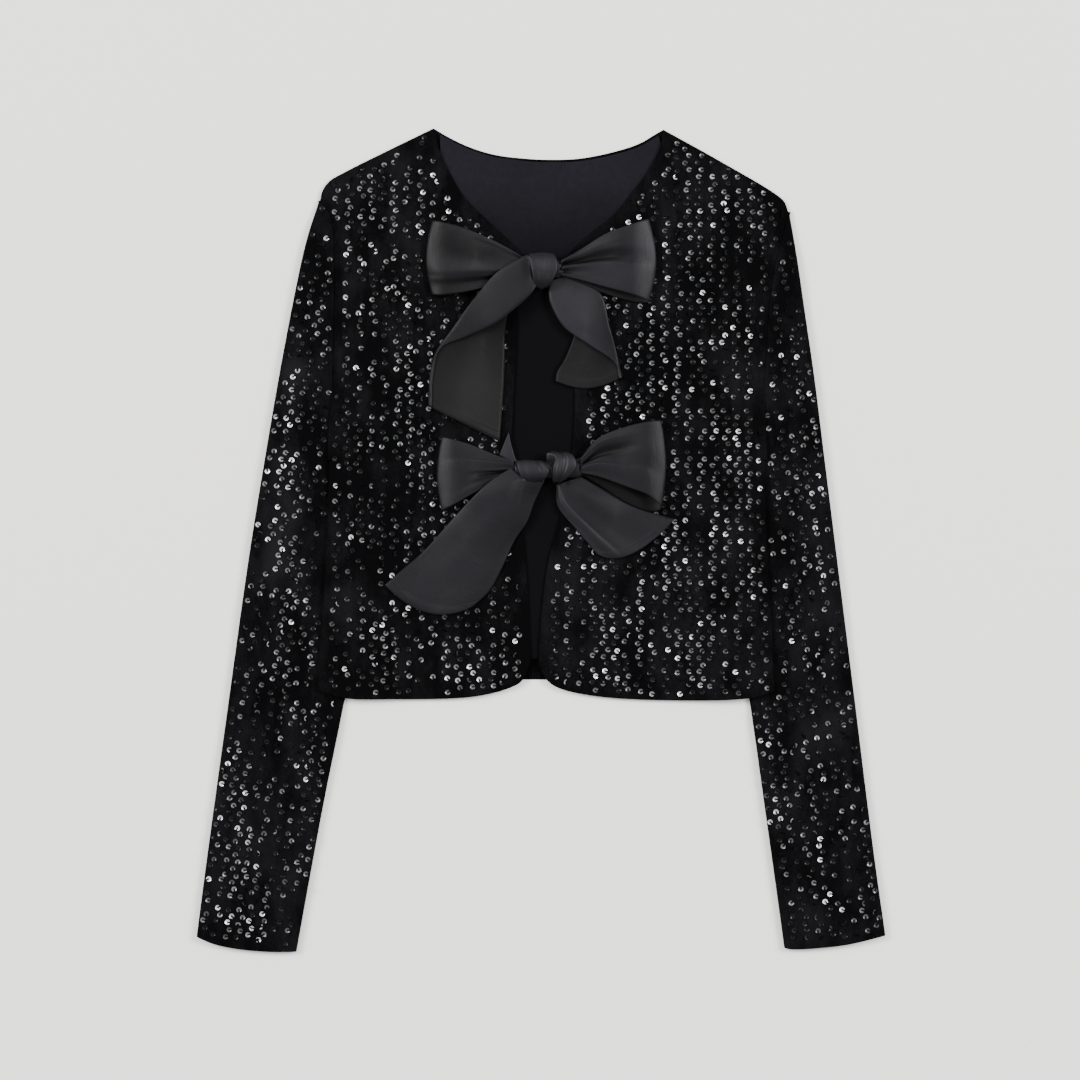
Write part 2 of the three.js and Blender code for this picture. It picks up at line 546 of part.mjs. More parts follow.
function knot(rows) {
  const around = 16;
  const wrapRidge = 0.5;
  const positions = [];
  const index = [];
  rows.forEach((row, j) => {
    const base = frontTop(row.x, row.top);
    for (let k = 0; k < around; k += 1) {
      const angle = (2 * Math.PI * k) / around;
      const swell = j > 0 && j < rows.length - 1 ? wrapRidge * Math.cos(3 * angle + j) : 0;
      positions.push(row.x,
        (row.top + row.bottom) / 2 + ((row.top - row.bottom) / 2 + Math.min(0, swell)) * Math.cos(angle),
        base + (row.high + row.low) / 2 + ((row.high - row.low) / 2 + Math.min(0, swell)) * Math.sin(angle));
    }
  });
  const at = (j, k) => j * around + (k % around);
  for (let j = 0; j < rows.length - 1; j += 1) {
    for (let k = 0; k < around; k += 1) {
      index.push(at(j, k), at(j + 1, k), at(j + 1, k + 1), at(j, k), at(j + 1, k + 1), at(j, k + 1));
    }
  }
  for (let k = 1; k < around - 1; k += 1) {
    index.push(at(0, 0), at(0, k), at(0, k + 1));
    index.push(at(rows.length - 1, 0), at(rows.length - 1, k + 1), at(rows.length - 1, k));
  }
  return facingOut(positions, index);
}

const cloth = (color, roughness) => new THREE.MeshStandardMaterial({ color, roughness, metalness: 0 });
const sequinVelvet = () => cloth(0x141417, 0.75);
const knitLining = () => cloth(0x26262b, 0.8);
const ribbonSatin = () => cloth(0x3c3c41, 0.5);

const cardigan = new THREE.Group();
const add = (name, geometry, material) => {
  const mesh = new THREE.Mesh(geometry, material);
  mesh.name = name;
  cardigan.add(mesh);
};

add('back', back(), sequinVelvet());
add('back_lining', backLining(), knitLining());
for (const [name, side] of Object.entries(sides)) {
  add(`front_${name}`, front(side), sequinVelvet());
  add(`sleeve_${name}`, sleeve(side), sequinVelvet());
}
for (const [name, shape] of Object.entries(loops)) add(name, loop(shape), ribbonSatin());
for (const [name, shape] of Object.entries(tails)) add(name, tail(shape), ribbonSatin());
for (const [name, rows] of Object.entries(ties)) add(name, tie(rows), ribbonSatin());
for (const [name, rows] of Object.entries(knots)) add(name, knot(rows), ribbonSatin());

// The origin is in the middle of the cardigan, on the table
const middle = new THREE.Box3().setFromObject(cardigan).getCenter(new THREE.Vector3());
cardigan.position.set(-middle.x, -middle.y, 0);

export default cardigan;
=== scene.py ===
"""A cropped sequin cardigan in black velvet, laid flat on its back. Its fronts are tied by two satin bows.

Shapes are worked out in millimetres, in the plane of the table: +X to the right, +Y to the neck, +Z up.
"Right" and "left" are the wearer's. Meshes are made in metres."""
import math

import bpy
import numpy as np
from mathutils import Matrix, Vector


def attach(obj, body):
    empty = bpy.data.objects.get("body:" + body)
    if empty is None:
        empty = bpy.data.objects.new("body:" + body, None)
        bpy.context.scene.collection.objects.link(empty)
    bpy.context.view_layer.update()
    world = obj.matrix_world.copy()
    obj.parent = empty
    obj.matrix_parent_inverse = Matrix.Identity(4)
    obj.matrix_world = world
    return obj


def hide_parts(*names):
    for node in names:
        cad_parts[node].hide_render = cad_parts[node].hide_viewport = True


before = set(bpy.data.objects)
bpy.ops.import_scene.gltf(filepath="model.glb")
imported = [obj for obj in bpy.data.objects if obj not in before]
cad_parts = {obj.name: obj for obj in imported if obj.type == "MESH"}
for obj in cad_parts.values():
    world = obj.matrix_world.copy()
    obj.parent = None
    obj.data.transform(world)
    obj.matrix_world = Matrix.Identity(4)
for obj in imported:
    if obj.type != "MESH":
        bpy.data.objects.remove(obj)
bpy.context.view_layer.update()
MM = 0.001

# Walls and gaps
VELVET = 1.5
LINING = 1.0
SATIN = 0.6
SEAM_GAP = 0.3
LAYER_GAP = 0.7
ARMHOLE_GAP = 0.7
OVER_LINING = LINING + 2 * LAYER_GAP - SEAM_GAP
LINING_RISE = 12

# Sleeves folded under the sides of the body
TUCKED_HEIGHT = 3.9
SLEEVE_HEIGHT = 6.3
OPENING_REACH = 25
BODY_LIFT = TUCKED_HEIGHT + LAYER_GAP
BRIDGE_REACH = 62
UNDERARM_REACH = 75
HEM_LEVEL = -127
CUFF_SHARE = 0.4
GUIDE_FOOT = 26

# Sequins
SEQUIN_RADIUS = 2.1
COLUMN_SPACING = 9.7
SEQUIN_PITCH = 5.5
ZIGZAG = 1.35
STRAY_ACROSS = 0.4
STRAY_ALONG = 0.35
BARE_EDGE = 7.5
HEM_CLOSER = 3.2
SEAM_CLEAR = 3.6
SHOULDER_CLEAR = 3.2
CUFF_CLEAR = 5
RIM_CLEAR = 2.6
BODY_CLEAR = 3
TILT = 0.09
WILD_TILT = 0.55
WILD_SHARE = 0.2
# Painted glints: colour ranges for sequins that catch no light, some light, and a white flash, and the shares
# that flash
DARK_TONES = (0.0, 0.009)
GREY_TONES = (0.03, 0.17)
FLASH_TONES = (0.2, 1.0)
FLASH_SHARES = (0.015, 0.55)

# How far each hem's stitching lies from its edge
BACK_HEM = 8
LINING_HEM = 5
FRONT_HEM = 7
CUFF_HEM = 9
RIBBON_HEM = 6

# What a ribbon's turned hem adds to its half thickness, and the share of it left at the selvage
HEM_SWELL = 0.28
SELVAGE_SHARE = 0.45


# Curves and surfaces in the plane

def line(*points, fine=24):
    """A smooth line through the points, as a function from shares of its length to places."""
    p = np.array(points, float)
    p = np.vstack([2 * p[0] - p[1], p, 2 * p[-1] - p[-2]])
    found = [p[1:2]]
    for a, b, c, d in zip(p, p[1:], p[2:], p[3:]):
        t = np.cumsum([0.0] + [np.linalg.norm(n - m) ** 0.5 for m, n in ((a, b), (b, c), (c, d))])
        s = np.linspace(t[1], t[2], fine + 1)[1:, None]

        def between(m, n, start, end):
            return ((end - s) * m + (s - start) * n) / (end - start)

        first = between(a, b, t[0], t[1])
        middle = between(b, c, t[1], t[2])
        last = between(c, d, t[2], t[3])
        early = between(first, middle, t[0], t[2])
        late = between(middle, last, t[1], t[3])
        found.append(between(early, late, t[1], t[2]))
    path = np.vstack(found)
    run = np.concatenate([[0], np.cumsum(np.linalg.norm(np.diff(path, axis=0), axis=1))])

    def at(share):
        want = np.atleast_1d(share) * run[-1]
        return np.stack([np.interp(want, run, path[:, k]) for k in range(path.shape[1])], axis=-1)

    at.length = run[-1]
    return at


def back_along(curve):
    return lambda t: curve(1 - np.asarray(t))


def part_of(curve, start, end):
    return lambda t: curve(start + (end - start) * np.asarray(t))


def joined(parts, ends):
    """One line made of several, each taking its share of the whole up to the given ends."""
    def at(t):
        t = np.atleast_1d(t)
        out = np.zeros((len(t), 2))
        start = 0.0
        for k, (part, end) in enumerate(zip(parts, ends)):
            mine = (t >= start) & ((t < end) if k < len(parts) - 1 else (t <= 1.0001))
            if mine.any():
                out[mine] = part(np.clip((t[mine] - start) / (end - start), 0, 1))
            start = end
        return out
    return at


def patch(top, bottom, first, last):
    """A four-sided piece between its edges: u runs from first to last, v from top to bottom."""
    corners = [top(0.0), top(1.0), bottom(0.0), bottom(1.0)]

    def at(u, v):
        u, v = (np.ravel(k) for k in np.broadcast_arrays(u, v))
        a, b = u[:, None], v[:, None]
        flat = (1 - a) * (1 - b) * corners[0] + a * (1 - b) * corners[1]
        flat = flat + (1 - a) * b * corners[2] + a * b * corners[3]
        return (1 - b) * top(u) + b * bottom(u) + (1 - a) * first(v) + a * last(v) - flat
    return at


def smooth(t):
    s = np.clip(t, 0, 1)
    return s * s * (3 - 2 * s)


def x_at_level(points, y):
    """The x of a falling line of points at each y."""
    return np.interp(-y, -points[:, 1], points[:, 0])


def distance_to(path, xy):
    """The least distance from each place to a run of short straight lines."""
    best = np.full(len(xy), 1e9)
    for a, b in zip(path, path[1:]):
        d = b - a
        t = np.clip(((xy - a) @ d) / max(d @ d, 1e-9), 0, 1)
        best = np.minimum(best, np.hypot(*(xy - a - t[:, None] * d).T))
    return best


def away_from(side, edge, steps, xy):
    """The distance from each place to one of the edges of a side, taken in steps."""
    return distance_to(side[edge](np.linspace(0, 1, steps)), xy)


# The cut of each piece, as lines through points [x, y]
SIDES = {
    "right": dict(
        sign=-1,
        shoulder=line([-86, 330], [-121, 313], [-157, 295], [-169, 288], [-175, 280], [-177, 272]),
        armhole=line([-177, 272], [-169, 262], [-166, 247], [-165, 208], [-166, 152], [-167, 112],
                     [-169, 64]),
        side_seam=line([-169, 64], [-172, -12], [-175, -64], [-178, -120]),
        neckline=line([-86, 330], [-81, 311], [-74, 296], [-61, 274], [-45, 258], [-26, 240], [-10, 225]),
        front_edge=line([-10, 225], [-17, 192], [-20, 152], [-22, 112], [-23, 80], [-19, 40], [-13, -8],
                        [-8, -96]),
        front_hem=line([-8, -96], [-15, -112], [-25, -118], [-54, -125], [-121, -127], [-157, -126],
                       [-178, -120]),
        sleeve_outer=line([-275, -317], [-267, -256], [-251, -140], [-233, -12], [-220, 68], [-209, 132],
                          [-200, 180], [-191, 224], [-186, 244], [-177, 272]),
        sleeve_inner=line([-195, -329], [-184, -268], [-172, -204], [-159, -140], [-148, -80], [-141, -16],
                          [-142, 8], [-147, 32], [-157, 52], [-169, 64]),
        cuff=line([-195, -329], [-217, -329], [-241, -327], [-261, -323], [-275, -317]),
        guide=[[-210, -220], [-192, -140], [-181, -70], [-177, -12], [-173.5, 45], [-171, 68]],
    ),
    "left": dict(
        sign=1,
        shoulder=line([98, 329], [143, 304], [187, 278], [195, 271], [198, 263]),
        armhole=line([198, 263], [192, 240], [186, 216], [182, 184], [180, 152], [178, 112], [179, 64]),
        side_seam=line([179, 64], [181, -12], [184, -64], [187, -121]),
        neckline=line([98, 329], [95, 314], [86, 296], [75, 281], [59, 261], [44, 249], [29, 236], [18, 225]),
        front_edge=line([18, 225], [22, 192], [26, 152], [27, 112], [25, 72], [17, 24], [6, -16], [0, -64],
                        [-2, -100]),
        front_hem=line([-2, -100], [5, -112], [14, -118], [47, -125], [127, -128], [167, -126], [187, -121]),
        sleeve_outer=line([275, -316], [266, -252], [250, -124], [234, 4], [226, 68], [218, 132], [211, 180],
                          [204, 228], [198, 263]),
        sleeve_inner=line([194, -326], [186, -268], [177, -204], [168, -140], [159, -80], [152, -16],
                          [152, 8], [157, 32], [166, 50], [179, 64]),
        cuff=line([194, -326], [199, -327], [223, -326], [247, -323], [275, -316]),
        guide=[[212, -220], [198, -140], [190, -70], [186, -12], [182.5, 45], [180.5, 68]],
    ),
}
BACK_NECK = line([-86, 330], [-74, 323], [-57, 315], [-37, 309], [-13, 306], [7, 305], [31, 306], [57, 311],
                 [79, 318], [91, 325], [98, 329])
BACK_FOOT = line([-178, -120], [-113, -116], [-57, -112], [47, -112], [127, -116], [187, -121])

for _side in SIDES.values():
    _side["edge"] = joined([_side["armhole"], _side["side_seam"]], [0.5, 1])
    _side["edge_points"] = _side["edge"](np.linspace(0, 1, 61))
    _side["tuck_points"] = np.vstack([_side["armhole"](np.linspace(0, 1, 31)),
                                      back_along(_side["sleeve_inner"])(np.linspace(0, 1, 31))])
    _side["inner"] = joined([_side["neckline"], _side["front_edge"]], [1 / 3, 1])
    _side["plan"] = patch(_side["shoulder"], _side["front_hem"], _side["inner"], _side["edge"])


# Folds: where each ridge starts and ends, its half width and its height. Troughs have a negative height.
FRONT_FOLDS = [
    (-150, 150, -143, -20, 16, 1.6), (-112, 40, -120, -110, 18, 1.3), (-60, -70, -54, -128, 13, 1.2),
    (166, 220, 140, 120, 14, 1.8), (158, 60, 164, -90, 16, 1.5), (118, 110, 126, -40, 18, 1.2),
    (27, -30, 20, -104, 9, 1.2),
]
SLEEVE_FOLDS = [
    (-200, 140, -236, -70, 15, 0.6), (-205, 10, -190, -110, 14, 0.5), (-250, -180, -215, -300, 16, 0.6),
    (205, 150, 222, -40, 14, 0.6), (200, -110, 232, -220, 15, 0.6), (225, -230, 214, -310, 14, 0.5),
]
FRONT_CREASES = [
    (-158, 225, -140, 175, 8, 0.7), (-152, 205, -128, 168, 7, -0.5), (-160, 120, -140, 84, 8, 0.6),
    (-135, 20, -128, -60, 9, 0.6), (-162, -10, -158, -100, 7, -0.6), (-95, -60, -88, -122, 8, 0.5),
    (-40, -20, -34, -110, 8, 0.5), (-105, 262, -98, 190, 11, 0.5), (-70, -30, -74, -100, 9, -0.4),
    (172, 190, 150, 150, 7, 0.8), (176, 160, 156, 118, 6, -0.6), (170, 120, 148, 86, 7, 0.7),
    (172, 86, 152, 40, 7, 0.6), (150, 20, 146, -60, 8, -0.5), (100, -20, 104, -120, 10, 0.6),
    (62, -60, 66, -124, 8, 0.5), (120, 250, 112, 180, 10, 0.5), (44, -70, 40, -120, 6, -0.4),
]
SLEEVE_CREASES = [
    (-196, 176, -176, 120, 8, 0.6), (-205, 120, -178, 70, 8, 0.7), (-212, 60, -182, 22, 8, 0.6),
    (-226, -10, -188, -30, 7, 0.5), (-236, -60, -196, -84, 8, 0.5), (-200, -150, -240, -190, 9, 0.5),
    (-252, -230, -208, -250, 8, 0.4), (-222, 20, -240, -120, 8, -0.4), (-190, -250, -204, -320, 8, 0.4),
    (202, 190, 192, 130, 7, 0.6), (214, 120, 190, 76, 8, 0.7), (220, 50, 192, 20, 7, 0.6),
    (232, -20, 196, -44, 8, 0.5), (206, -160, 240, -186, 8, 0.5), (216, -240, 250, -262, 8, 0.4),
    (228, 20, 240, -110, 8, -0.4), (250, -240, 256, -310, 9, 0.4),
]

# Painted light and painted shade on the pile and sequins: streaks from place to place, half width and amount
PAINTED_LIGHT_STREAKS = [
    (-196, 140, -208, 64, 16, 1.05), (-208, 64, -214, -20, 17, 1.25), (-250, -60, -240, -20, 12, 0.25),
    (-254, -150, -232, -250, 16, 0.25), (-150, 330, -95, 292, 24, 0.42), (-150, 200, -140, 160, 16, 0.3),
    (-118, 150, -96, 60, 20, 0.3), (-150, -40, -60, -108, 30, 0.62), (-40, -60, -20, -110, 16, 0.35),
    (92, 120, 168, 60, 26, 0.25), (110, 60, 160, 0, 22, 0.3), (60, -70, 170, -100, 22, 0.3),
    (215, 60, 226, -60, 12, 0.3), (236, -60, 230, -150, 14, 0.25), (212, -200, 226, -300, 12, 0.3),
    (-135, 70, -128, -15, 36, -0.55), (-150, 130, -150, 60, 14, -0.4), (-176, 230, -190, 150, 14, -0.35),
    (-186, 150, -176, -80, 17, -0.75), (-90, 10, -60, -50, 16, -0.2), (150, 250, 130, 190, 24, -0.3),
    (60, 150, 90, 100, 20, -0.15), (170, 250, 176, 150, 12, -0.3), (196, 240, 190, 60, 13, -0.6),
    (90, 0, 60, -40, 14, -0.2), (-225, -200, -205, -110, 12, -0.3), (195, -60, 200, -180, 12, -0.25),
]


def fold_height(folds, xy, most=True):
    """The height of the folds at each place: the highest of them, or all added up."""
    height = np.zeros(len(xy))
    for x0, y0, x1, y1, half, high in folds:
        away = distance_to(np.array([[x0, y0], [x1, y1]], float), xy)
        one = high * smooth(1 - away / half)
        height = np.maximum(height, one) if most else height + one
    return height


def waves(xy, seed, spans, high):
    """Soft uneven waves: a sum of sines in seeded directions, of the given wavelengths."""
    pick = np.random.default_rng(seed)
    total = np.zeros(len(xy))
    for span in spans:
        for _ in range(4):
            angle, phase = pick.uniform(0, 2 * math.pi, 2)
            total += np.sin((xy @ [math.cos(angle), math.sin(angle)]) * 2 * math.pi / span + phase)
    return high * total / (2 * len(spans))


def lift(xy):
    """How far the sleeves under the sides raise the cloth that lies on them."""
    height = np.zeros(len(xy))
    for side in SIDES.values():
        inside = (x_at_level(side["tuck_points"], xy[:, 1]) - xy[:, 0]) * side["sign"]
        below = (side["armhole"](1.0)[0, 1] + UNDERARM_REACH - xy[:, 1]) / UNDERARM_REACH
        height += BODY_LIFT * smooth(1 - inside / BRIDGE_REACH) * smooth(below)
    return height


def front_top(xy):
    """How high the fronts' upper faces lie, which the bows rest on."""
    return lift(xy) + 2 * VELVET + SEAM_GAP + OVER_LINING + fold_height(FRONT_FOLDS, xy)


# Meshes

def mesh_object(name, points, faces, material, uv=None, painted_lights=None, inner=None, inner_faces=None):
    """A smooth mesh piece from points in millimetres. uv gives each point's place on the cloth, and the list
    after it gives each point's painted light and painted shade. The faces marked as inner_faces take the
    inner material."""
    data = bpy.data.meshes.new(name)
    data.from_pydata((np.asarray(points) * MM).tolist(), [], [tuple(int(k) for k in f) for f in faces])
    if uv is not None:
        layer = data.uv_layers.new(name="cloth")
        corner = np.empty(len(data.loops), int)
        data.loops.foreach_get("vertex_index", corner)
        layer.data.foreach_set("uv", (np.asarray(uv)[corner] * MM).ravel())
    if painted_lights is not None:
        tone = data.attributes.new("tone", "FLOAT", "POINT")
        tone.data.foreach_set("value", np.asarray(painted_lights, float))
    data.polygons.foreach_set("use_smooth", [True] * len(data.polygons))
    data.materials.append(material)
    if inner is not None:
        data.materials.append(inner)
        data.polygons.foreach_set("material_index", np.asarray(inner_faces, int))
    data.update()
    obj = bpy.data.objects.new(name, data)
    bpy.context.scene.collection.objects.link(obj)
    return obj


def grid_faces(rows, columns, start=0, round_columns=False, flip=False):
    """Faces of a grid of rows by columns of points. A round one joins its last column to its first."""
    i = np.arange(columns if round_columns else columns - 1)
    j = np.arange(rows - 1)[:, None] * columns
    k = (i + 1) % columns
    quads = np.stack([j + i, j + columns + i, j + columns + k, j + k], axis=-1).reshape(-1, 4)
    quads = quads + start
    return quads[:, ::-1] if flip else quads


def wall_faces(rows, columns, round_columns=False):
    """Faces of a closed wall: an underside grid, an upper grid, and the strips that join their edges."""
    sheet = rows * columns
    faces = [grid_faces(rows, columns, 0, round_columns),
             grid_faces(rows, columns, sheet, round_columns, flip=True)]
    i = np.arange(columns if round_columns else columns - 1)
    k = (i + 1) % columns
    last = (rows - 1) * columns
    faces.append(np.stack([i, k, k + sheet, i + sheet], axis=-1))
    faces.append(np.stack([last + k, last + i, last + i + sheet, last + k + sheet], axis=-1))
    if not round_columns:
        j = np.arange(rows - 1) * columns
        n = j + columns
        e = columns - 1
        faces.append(np.stack([n, j, j + sheet, n + sheet], axis=-1))
        faces.append(np.stack([j + e, n + e, n + e + sheet, j + e + sheet], axis=-1))
    return np.vstack(faces)


def closed_wall(name, under, over, material, uv, painted_lights=None, round_columns=False, inner=None,
                inner_is_over=False):
    """under and over are grids of points [row, column, xyz]. One of the two may take the inner material.
    The faces are turned to point out."""
    rows, columns = under.shape[:2]
    points = np.vstack([under.reshape(-1, 3), over.reshape(-1, 3)])
    faces = wall_faces(rows, columns, round_columns)
    a, b, c, d = (points[faces[:, k]] for k in range(4))
    volume = (a * np.cross(b, c)).sum() + (a * np.cross(c, d)).sum()
    if volume < 0:
        faces = faces[:, ::-1]
    inner_faces = np.zeros(len(faces), bool)
    if inner is not None:
        side = (rows - 1) * (columns if round_columns else columns - 1)
        first = side if inner_is_over else 0
        inner_faces[first:first + side] = True
    both = None if painted_lights is None else np.concatenate([painted_lights, painted_lights])
    return mesh_object(name, points, faces, material, np.vstack([uv, uv]), both, inner, inner_faces)


def spaced(count, length, ends=(0.25, 0.8, 1.8)):
    """Shares from 0 to 1, evenly spaced but with close ones near both ends, at the given millimetres."""
    even = np.linspace(0, 1, count + 1)[1:-1]
    near = np.array(ends) / length
    even = even[(even > near[-1] * 1.3) & (even < 1 - near[-1] * 1.3)]
    return np.concatenate([[0], near, even, 1 - near[::-1], [1]])


def rounded_edge(distance, radius=0.75):
    """How far a wall's face drops towards its edge, so that the edge is round."""
    d = np.clip(distance / radius, 0, 1)
    return radius * (1 - np.sqrt(1 - (1 - d) ** 2))


def rest(piece, node):
    """Every piece rides on the one body. It stands for a node, unless it only adds to what is there."""
    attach(piece, "root")
    if node:
        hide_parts(node)
    return piece


# Materials: threads and places in metres
TWILL_STEP = 0.0007
SATIN_WEFT = 0.00045
SATIN_WARP = 0.0003
# Where the lining's painted shade begins, in y
NECK_SHADE = 0.205


class Num:
    """A number in a shader, so that sums can be written as sums."""

    def __init__(self, tree, socket):
        self.tree = tree
        self.socket = socket

    def calc(self, operation, *others):
        node = self.tree.nodes.new("ShaderNodeMath")
        node.operation = operation
        for slot, value in zip(node.inputs, (self, *others)):
            if isinstance(value, Num):
                self.tree.links.new(value.socket, slot)
            else:
                slot.default_value = value
        return Num(self.tree, node.outputs[0])

    def __add__(self, other):
        return self.calc("ADD", other)

    def __sub__(self, other):
        return self.calc("SUBTRACT", other)

    def __mul__(self, other):
        return self.calc("MULTIPLY", other)

    def __rsub__(self, other):
        return (self * -1) + other

    __radd__ = __add__
    __rmul__ = __mul__

    def sine(self):
        return self.calc("SINE")

    def clamp(self):
        return self.calc("MAXIMUM", 0.0).calc("MINIMUM", 1.0)


class Finish:
    """A material built from nodes, around one Principled shader with the constants given."""

    def __init__(self, name, **constants):
        self.material = bpy.data.materials.new(name)
        self.material.use_nodes = True
        self.tree = self.material.node_tree
        self.shader = self.tree.nodes["Principled BSDF"]
        for key, value in constants.items():
            self.shader.inputs[key.replace("_", " ")].default_value = value

    def node(self, kind, settings=None, **inputs):
        made = self.tree.nodes.new(kind)
        for key, value in (settings or {}).items():
            setattr(made, key, value)
        for key, value in inputs.items():
            self.feed(made.inputs[key.replace("_", " ")], value)
        return made

    def feed(self, socket, value):
        if isinstance(value, Num):
            self.tree.links.new(value.socket, socket)
        elif isinstance(value, bpy.types.NodeSocket):
            self.tree.links.new(value, socket)
        else:
            socket.default_value = value

    def num(self, socket):
        return Num(self.tree, socket)

    def place(self, uv=False):
        """The place on the cloth, in metres: along the cloth itself, or in space."""
        if uv:
            return self.node("ShaderNodeUVMap", {"uv_map": "cloth"}).outputs[0]
        return self.node("ShaderNodeTexCoord").outputs["Object"]

    def axes(self, place):
        parts = self.node("ShaderNodeSeparateXYZ", Vector=place)
        return [self.num(parts.outputs[k]) for k in range(3)]

    def noise(self, place, scale, detail=3.0, rough=0.5):
        made = self.node("ShaderNodeTexNoise", Vector=place, Scale=scale, Detail=detail, Roughness=rough)
        return self.num(made.outputs[0])

    def tone(self):
        """The painted light and painted shade at each point, as its mesh gives them."""
        return self.num(self.node("ShaderNodeAttribute", {"attribute_name": "tone"}).outputs["Fac"])

    def stretched(self, place, x, y, z):
        made = self.node("ShaderNodeVectorMath", {"operation": "MULTIPLY"})
        self.feed(made.inputs[0], place)
        made.inputs[1].default_value = (x, y, z)
        return made.outputs[0]

    def blend(self, amount, first, second):
        made = self.node("ShaderNodeMix", {"data_type": "RGBA"})
        self.feed(made.inputs[0], amount)
        self.feed(made.inputs[6], (*first, 1) if isinstance(first, tuple) else first)
        self.feed(made.inputs[7], (*second, 1) if isinstance(second, tuple) else second)
        return made.outputs[2]

    def bump(self, height, depth, strength=1.0, under=None):
        made = self.node("ShaderNodeBump", Height=height, Distance=depth, Strength=strength)
        if under is not None:
            self.feed(made.inputs["Normal"], under)
        return made.outputs[0]

    def finish(self, **inputs):
        for key, value in inputs.items():
            self.feed(self.shader.inputs[key.replace("_", " ")], value)
        return self.material


def pile_velvet():
    """Black pile, crushed in random patches, with painted light and painted shade in streaks that its mesh
    gives.
    """
    f = Finish("pile_velvet", Sheen_Weight=0.015, Sheen_Roughness=0.35, Specular_IOR_Level=0.03)
    f.shader.inputs["Sheen Tint"].default_value = (0.7, 0.72, 0.85, 1)
    place = f.place()
    grain = f.noise(f.stretched(place, 1, 0.35, 1), 1400, 2)
    crushed = f.noise(f.stretched(place, 1, 0.5, 1), 55, 4, 0.6)
    broad = f.noise(place, 12, 2)
    # Painted light and painted shade from the mesh, in streaks
    lit = f.tone()
    patches = (crushed - 0.45) * 2.0 + (broad - 0.5) * 1.2
    shade = (patches + (grain - 0.5) * 0.8 + lit * 0.32 + 0.04).clamp()
    colour = f.blend(shade, (0.0011, 0.0011, 0.0013), (0.0082, 0.0077, 0.0088))
    dented = f.bump(crushed, 0.0009, 0.55)
    pile = f.bump(grain, 0.0004, 0.7, dented)
    return f.finish(Base_Color=colour, Roughness=0.78 + grain * 0.2, Normal=pile)


def smooth_lining():
    """Fine twill, with painted light at the open neck and painted shade further down, between the fronts."""
    f = Finish("smooth_lining", Sheen_Weight=0.004, Sheen_Roughness=0.5, Specular_IOR_Level=0.04)
    place = f.place()
    x, y = f.axes(place)[:2]
    broad = f.noise(place, 9, 2)
    rub = f.noise(place, 220, 3)
    twill = ((x + y) * (2 * math.pi / TWILL_STEP)).sine() * 0.5 + 0.5
    # Painted shade: the lining is painted darker below the neck, where it lies between the fronts, and
    # lighter at the open neck
    painted_neck_light = ((y - NECK_SHADE) * 12.0).clamp()
    shade = ((broad * 0.5 + rub * 0.3 + twill * 0.15) * (painted_neck_light * 0.88 + 0.12)).clamp()
    colour = f.blend(shade, (0.0008, 0.0008, 0.0009), (0.0165, 0.015, 0.021))
    soft = f.bump(broad, 0.002, 0.3)
    woven = f.bump(twill, 0.0001, 0.25, soft)
    return f.finish(Base_Color=colour, Roughness=0.62 + rub * 0.16, Normal=woven)


def ribbon_satin(name, gloss, dark, pale):
    """Woven satin: the glossy face and the dull reverse of one ribbon, with painted sheen and painted shade
    from its mesh.
    """
    f = Finish(name, Anisotropic=0.4, Sheen_Weight=0.01, Sheen_Roughness=0.4, Specular_IOR_Level=gloss)
    place = f.place(uv=True)
    across, along = f.axes(place)[:2]
    weft = (along * (2 * math.pi / SATIN_WEFT)).sine() * 0.5 + 0.5
    warp = (across * (2 * math.pi / SATIN_WARP)).sine() * 0.5 + 0.5
    weave = weft * warp
    slub = f.noise(f.stretched(place, 60, 900, 1), 1, 3)
    broad = f.noise(place, 28, 3)
    lit = f.tone()
    shade = (lit * 0.75 + (broad - 0.5) * 0.3 + slub * 0.2 + weave * 0.2 + 0.27).clamp()
    soft = f.bump(broad, 0.0016, 0.35)
    lines = f.bump(slub, 0.00025, 0.35, soft)
    woven = f.bump(weave, 0.00008, 0.2, lines)
    return f.finish(Base_Color=f.blend(shade, dark, pale), Roughness=0.36 + slub * 0.14, Normal=woven)


def cup_sequin():
    """Black foil with painted glints: it is painted from black to white where its mesh says so."""
    f = Finish("cup_sequin", Metallic=0.5, Specular_IOR_Level=0.25)
    scuff = f.noise(f.place(), 900, 3)
    shade = (f.tone() * (0.86 + scuff * 0.28)).clamp()
    colour = f.blend(shade, (0.003, 0.003, 0.0035), (0.95, 0.95, 0.96))
    return f.finish(Base_Color=colour, Roughness=0.22 + scuff * 0.14, Normal=f.bump(scuff, 0.00012, 0.3))


def sewing_thread():
    f = Finish("sewing_thread", Specular_IOR_Level=0.05)
    twist = f.noise(f.place(), 2600, 2)
    colour = f.blend(twist, (0.0008, 0.0008, 0.001), (0.004, 0.004, 0.0046))
    return f.finish(Base_Color=colour, Roughness=0.6 + twist * 0.2, Normal=f.bump(twist, 0.0002, 0.5))


def pale_floor():
    f = Finish("pale_floor", Specular_IOR_Level=0.1)
    grain = f.noise(f.place(), 60, 3)
    colour = f.blend(grain, (0.965, 0.943, 0.903), (0.975, 0.953, 0.913))
    return f.finish(Base_Color=colour, Roughness=0.9)


velvet = pile_velvet()
lining_cloth = smooth_lining()
satin = ribbon_satin("satin_face", 0.14, (0.001, 0.0009, 0.0012), (0.0135, 0.0128, 0.0155))
satin_reverse = ribbon_satin("satin_reverse", 0.08, (0.0009, 0.0009, 0.0009), (0.0112, 0.0113, 0.0108))
sequin_foil = cup_sequin()
thread_black = sewing_thread()


